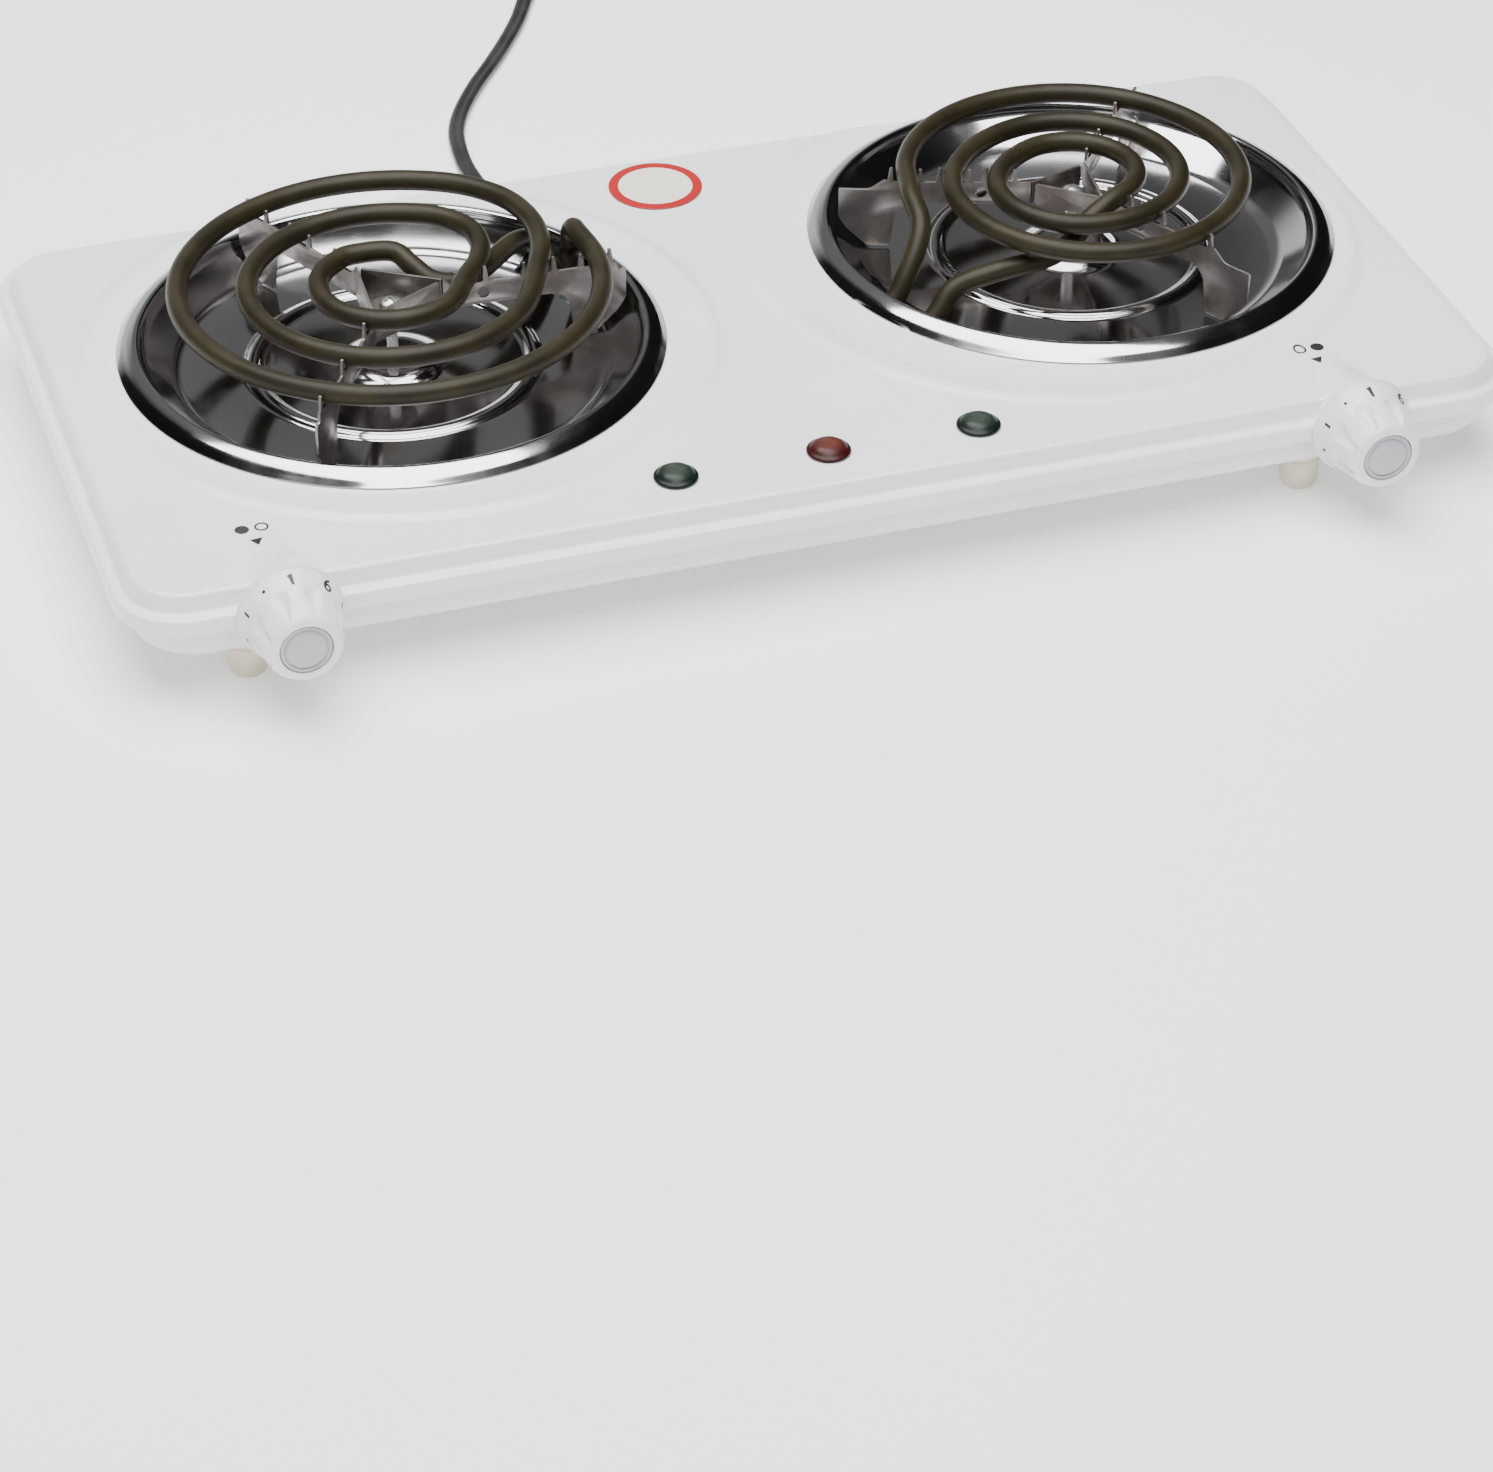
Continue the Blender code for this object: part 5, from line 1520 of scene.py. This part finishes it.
def wrap_on_skirt(mark, degrees):
    """Bends a flat mark round the cone. Its top points at the flange, and degrees run clockwise."""
    for vertex in mark.data.vertices:
        height = MARK_MIDDLE - vertex.co.y
        angle = math.radians(90 - degrees) - vertex.co.x / skirt_radius(height)
        radius = skirt_radius(height) + INK + vertex.co.z
        vertex.co = (radius * math.cos(angle), radius * math.sin(angle), height)
    return mark


def join(name, pieces):
    """Joins several meshes of one material into one piece."""
    bm = bmesh.new()
    for piece in pieces:
        bm.from_mesh(piece.data)
    made = mesh_object(name, bm, pieces[0].data.materials[0])
    for piece in pieces:
        bpy.data.objects.remove(piece)
    return made


def subdivided(piece, cuts):
    """More points in a flat mark, so that it can bend."""
    bm = bmesh.new()
    bm.from_mesh(piece.data)
    bmesh.ops.triangulate(bm, faces=bm.faces)
    bmesh.ops.subdivide_edges(bm, edges=bm.edges, cuts=cuts, use_grid_fill=True)
    bm.to_mesh(piece.data)
    bm.free()
    return piece


for side in SIDES:
    marks = []
    for number in range(SCALE_STEPS + 1):
        degrees = -SCALE_SWEEP * number / SCALE_STEPS
        if number in (0, SCALE_STEPS):
            mark = subdivided(digit("one" if number == 0 else "six"), 2)
        elif number % 2:
            mark = cut_sheet("dot", [circle(0.00060, 16)], 2 * INK, BLACK_INK, 0.00001)
        else:
            tick = [(-0.00045, -0.0013), (0.00045, -0.0013), (0.00045, 0.0013), (-0.00045, 0.0013)]
            mark = cut_sheet("tick", [tick], 2 * INK, BLACK_INK, 0.00001)
        marks.append(wrap_on_skirt(mark, degrees))
    at = (DIAL_X[side], DIAL_AT[side].z, DIAL_Z)
    finish_piece(join("dial_marks_" + side, marks), "dial_" + side, "black_lead", at=at, turn=FRONT)

# %% [markdown]
# ## Printing on the plate
# Each dial has a small black pointer on the enamel behind it. In place of words there is a plain sign
# of two burners with one filled in, which says which burner the dial works.

# %% Pointers and burner signs
POINTER = {"left": (-0.1968, -0.0905), "right": (0.1800, -0.0905), "half": 0.0021, "long": 0.0042}
PRINT_LIFT = 0.00008
SIGN = {"behind": 0.0066, "apart": 0.0066, "radius": 0.0024, "ring": 0.0007}

top_mesh = top_plate.data
enamel_skin = BVHTree.FromPolygons([v.co.copy() for v in top_mesh.vertices], [p.vertices[:] for p in top_mesh.polygons])


def printed_height(x, y):
    """The height of the enamel's real surface under a printed point."""
    met = enamel_skin.ray_cast(Vector((x, y, 1)), Vector((0, 0, -1)))[0]
    return met.z + PRINT_LIFT


for side in SIDES:
    x, y = POINTER[side]
    flat = [(-POINTER["half"], 0), (0, -POINTER["long"]), (POINTER["half"], 0)]
    printed = [subdivided(cut_sheet("pointer", [[(x + a, y + b) for a, b in flat]], 2 * INK, BLACK_INK, 0.00001), 3)]
    for burner, sign in (("left", -1), ("right", 1)):
        middle = (x + sign * SIGN["apart"] / 2, y + SIGN["behind"])
        outlines = [[(middle[0] + a, middle[1] + b) for a, b in circle(SIGN["radius"], 32)]]
        if burner != side:
            inner = circle(SIGN["radius"] - SIGN["ring"], 32)
            outlines.append([(middle[0] + a, middle[1] + b) for a, b in inner])
        printed.append(subdivided(cut_sheet("burner_sign", outlines, 2 * INK, BLACK_INK, 0.00001), 2))
    ink = join("print_" + side, printed)
    reshape(ink, lambda co: Vector((co.x, co.y, co.z + printed_height(co.x, co.y))))
    finish_piece(ink, HOUSING, "black_lead", at=PLATE_MIDDLE)
print("scale from 0 to", SCALE_SWEEP)

# %% [markdown]
# ## The lamp lenses
# Each lens is a low dome with a thin flange, pushed through the plate. Below the plate a skirt with a
# ridge snaps behind the sheet. The dome's underside is ribbed in rings to spread the lamp's light.

# %% Lenses
LENS_R = 0.0077
lens_top = PLATE_TOP_Z + GAP
for number in (1, 2, 3):
    made = RED_LENS if number == 2 else GREEN_LENS
    profile = [(0, 0.0330), (0.0056, 0.0330), (0.0058, 0.0350, 0.0003), (0.0060, 0.0375), (0.0060, lens_top)]
    profile += [(LENS_R - 0.0002, lens_top, 0.0002), (LENS_R, lens_top + 0.0008, 0.0004)]
    profile += [(LENS_R - 0.0006, lens_top + 0.0013, 0.0003), (LENS_R * 0.86, lens_top + 0.0014, 0.0004)]
    profile += [(LENS_R * 0.62, lens_top + 0.0032, 0.0028), (0.0010, lens_top + 0.0035), (0, lens_top + 0.0035)]
    profile = [tuple(point) for point in rounded(profile, closed=False, steps=7)]
    lens = lathe(f"lamp_lens_{number}", profile, made, 72)
    slot_name = "red_lens" if number == 2 else "green_lens"
    finish_piece(lens, HOUSING, slot_name, f"lens_{number}", at=middle_of(f"lens_{number}").xy.to_3d())

# %% [markdown]
# ## The round label
# A disc of printed film with a broad red rim and a cream middle. The middle is left blank.

# %% Label
LABEL_R = 0.0173
LABEL_RED_IN = 0.0137
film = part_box("label")[0].z
label_at = middle_of("label").xy.to_3d()
rim = rounded([(LABEL_RED_IN, film), (LABEL_R, film, 0.0001), (LABEL_R, film + 0.0003, 0.0001), (LABEL_RED_IN, film + 0.0003)])
red_rim = lathe("label_rim", [tuple(point) for point in rim], LABEL_RED, 96)
finish_piece(red_rim, HOUSING, "round_label", "label", at=label_at)
face = [(0, film), (LABEL_RED_IN, film), (LABEL_RED_IN, film + 0.0003), (0, film + 0.0003)]
cream = lathe("label_face", face, LABEL_FILM, 96)
finish_piece(cream, HOUSING, "round_label", at=label_at)

# %% [markdown]
# ## Feet and screws
# The feet are turned rubber buffers with a hollow for their screw, and a groove that lets them flex.
# All screws have a pan head with a cross recess, cut as two crossed wedges.

# %% Feet
FOOT_R = 0.0070
FOOT_TOP = BASE_BOTTOM_Z - GAP
foot_profile = [(0.0021, 0.0050), (0.0040, 0.0050, 0.0006), (0.0040, 0, 0.0005), (0.0058, 0, 0.0016)]
foot_profile += [(FOOT_R - 0.0002, 0.0030, 0.0020), (FOOT_R, 0.0100, 0.0010), (FOOT_R, 0.0112, 0.0004)]
foot_profile += [(FOOT_R - 0.0006, 0.0117, 0.0003), (FOOT_R - 0.0006, 0.0123, 0.0003), (FOOT_R, 0.0128, 0.0004)]
foot_profile += [(FOOT_R, FOOT_TOP), (0.0021, FOOT_TOP)]
for name in sorted(frame["nodes"]):
    if name.startswith("foot_") and "screw" not in name:
        foot = lathe("buffer" + name[4:], [tuple(point) for point in rounded(foot_profile)], CREAM_RUBBER, 64)
        finish_piece(foot, HOUSING, "cream_rubber", name, at=middle_of(name).xy.to_3d())


# %% Screws
def cross_recess(at_z, reach=0.0019, painted_rim_shade=0.0014, width=0.0007):
    """Two crossed wedges that point up into a head whose face looks down."""
    wedges = []
    for degrees in (0, 90):
        outline = [(-reach, -0.001), (reach, -0.001), (reach * 0.5, painted_rim_shade), (-reach * 0.5, painted_rim_shade)]
        wedge = cut_sheet("recess", [outline], width, ZINC)
        reshape(wedge, lambda co: Vector((co.x, -co.z, co.y + at_z)))
        wedge.rotation_euler = (0, 0, math.radians(degrees))
        wedges.append(wedge)
    return wedges


SCREWS = {
    "foot_screw": [(0, 0.0022), (0.0026, 0.0022, 0.0004), (0.0036, 0.0032, 0.0010), (0.0036, 0.0047),
                   (0.0017, 0.0047), (0.0017, 0.0183), (0.0006, 0.0188), (0, 0.0188)],
    "case_screw": [(0, 0.0122), (0.0028, 0.0122, 0.0004), (0.0038, 0.0134, 0.0010), (0.0038, FOOT_TOP),
                   (0.0017, FOOT_TOP), (0.0017, 0.0255), (0.0006, 0.0260), (0, 0.0260)],
}
for start, profile in SCREWS.items():
    for name in sorted(frame["nodes"]):
        if name.startswith(start):
            turned = [tuple(point) for point in rounded(profile, closed=False)]
            screw = lathe(name.replace("_screw", "_bolt"), turned, ZINC, 40)
            cut(screw, cross_recess(profile[0][1]))
            finish_piece(screw, HOUSING, "zinc_screws", name, at=middle_of(name).xy.to_3d())
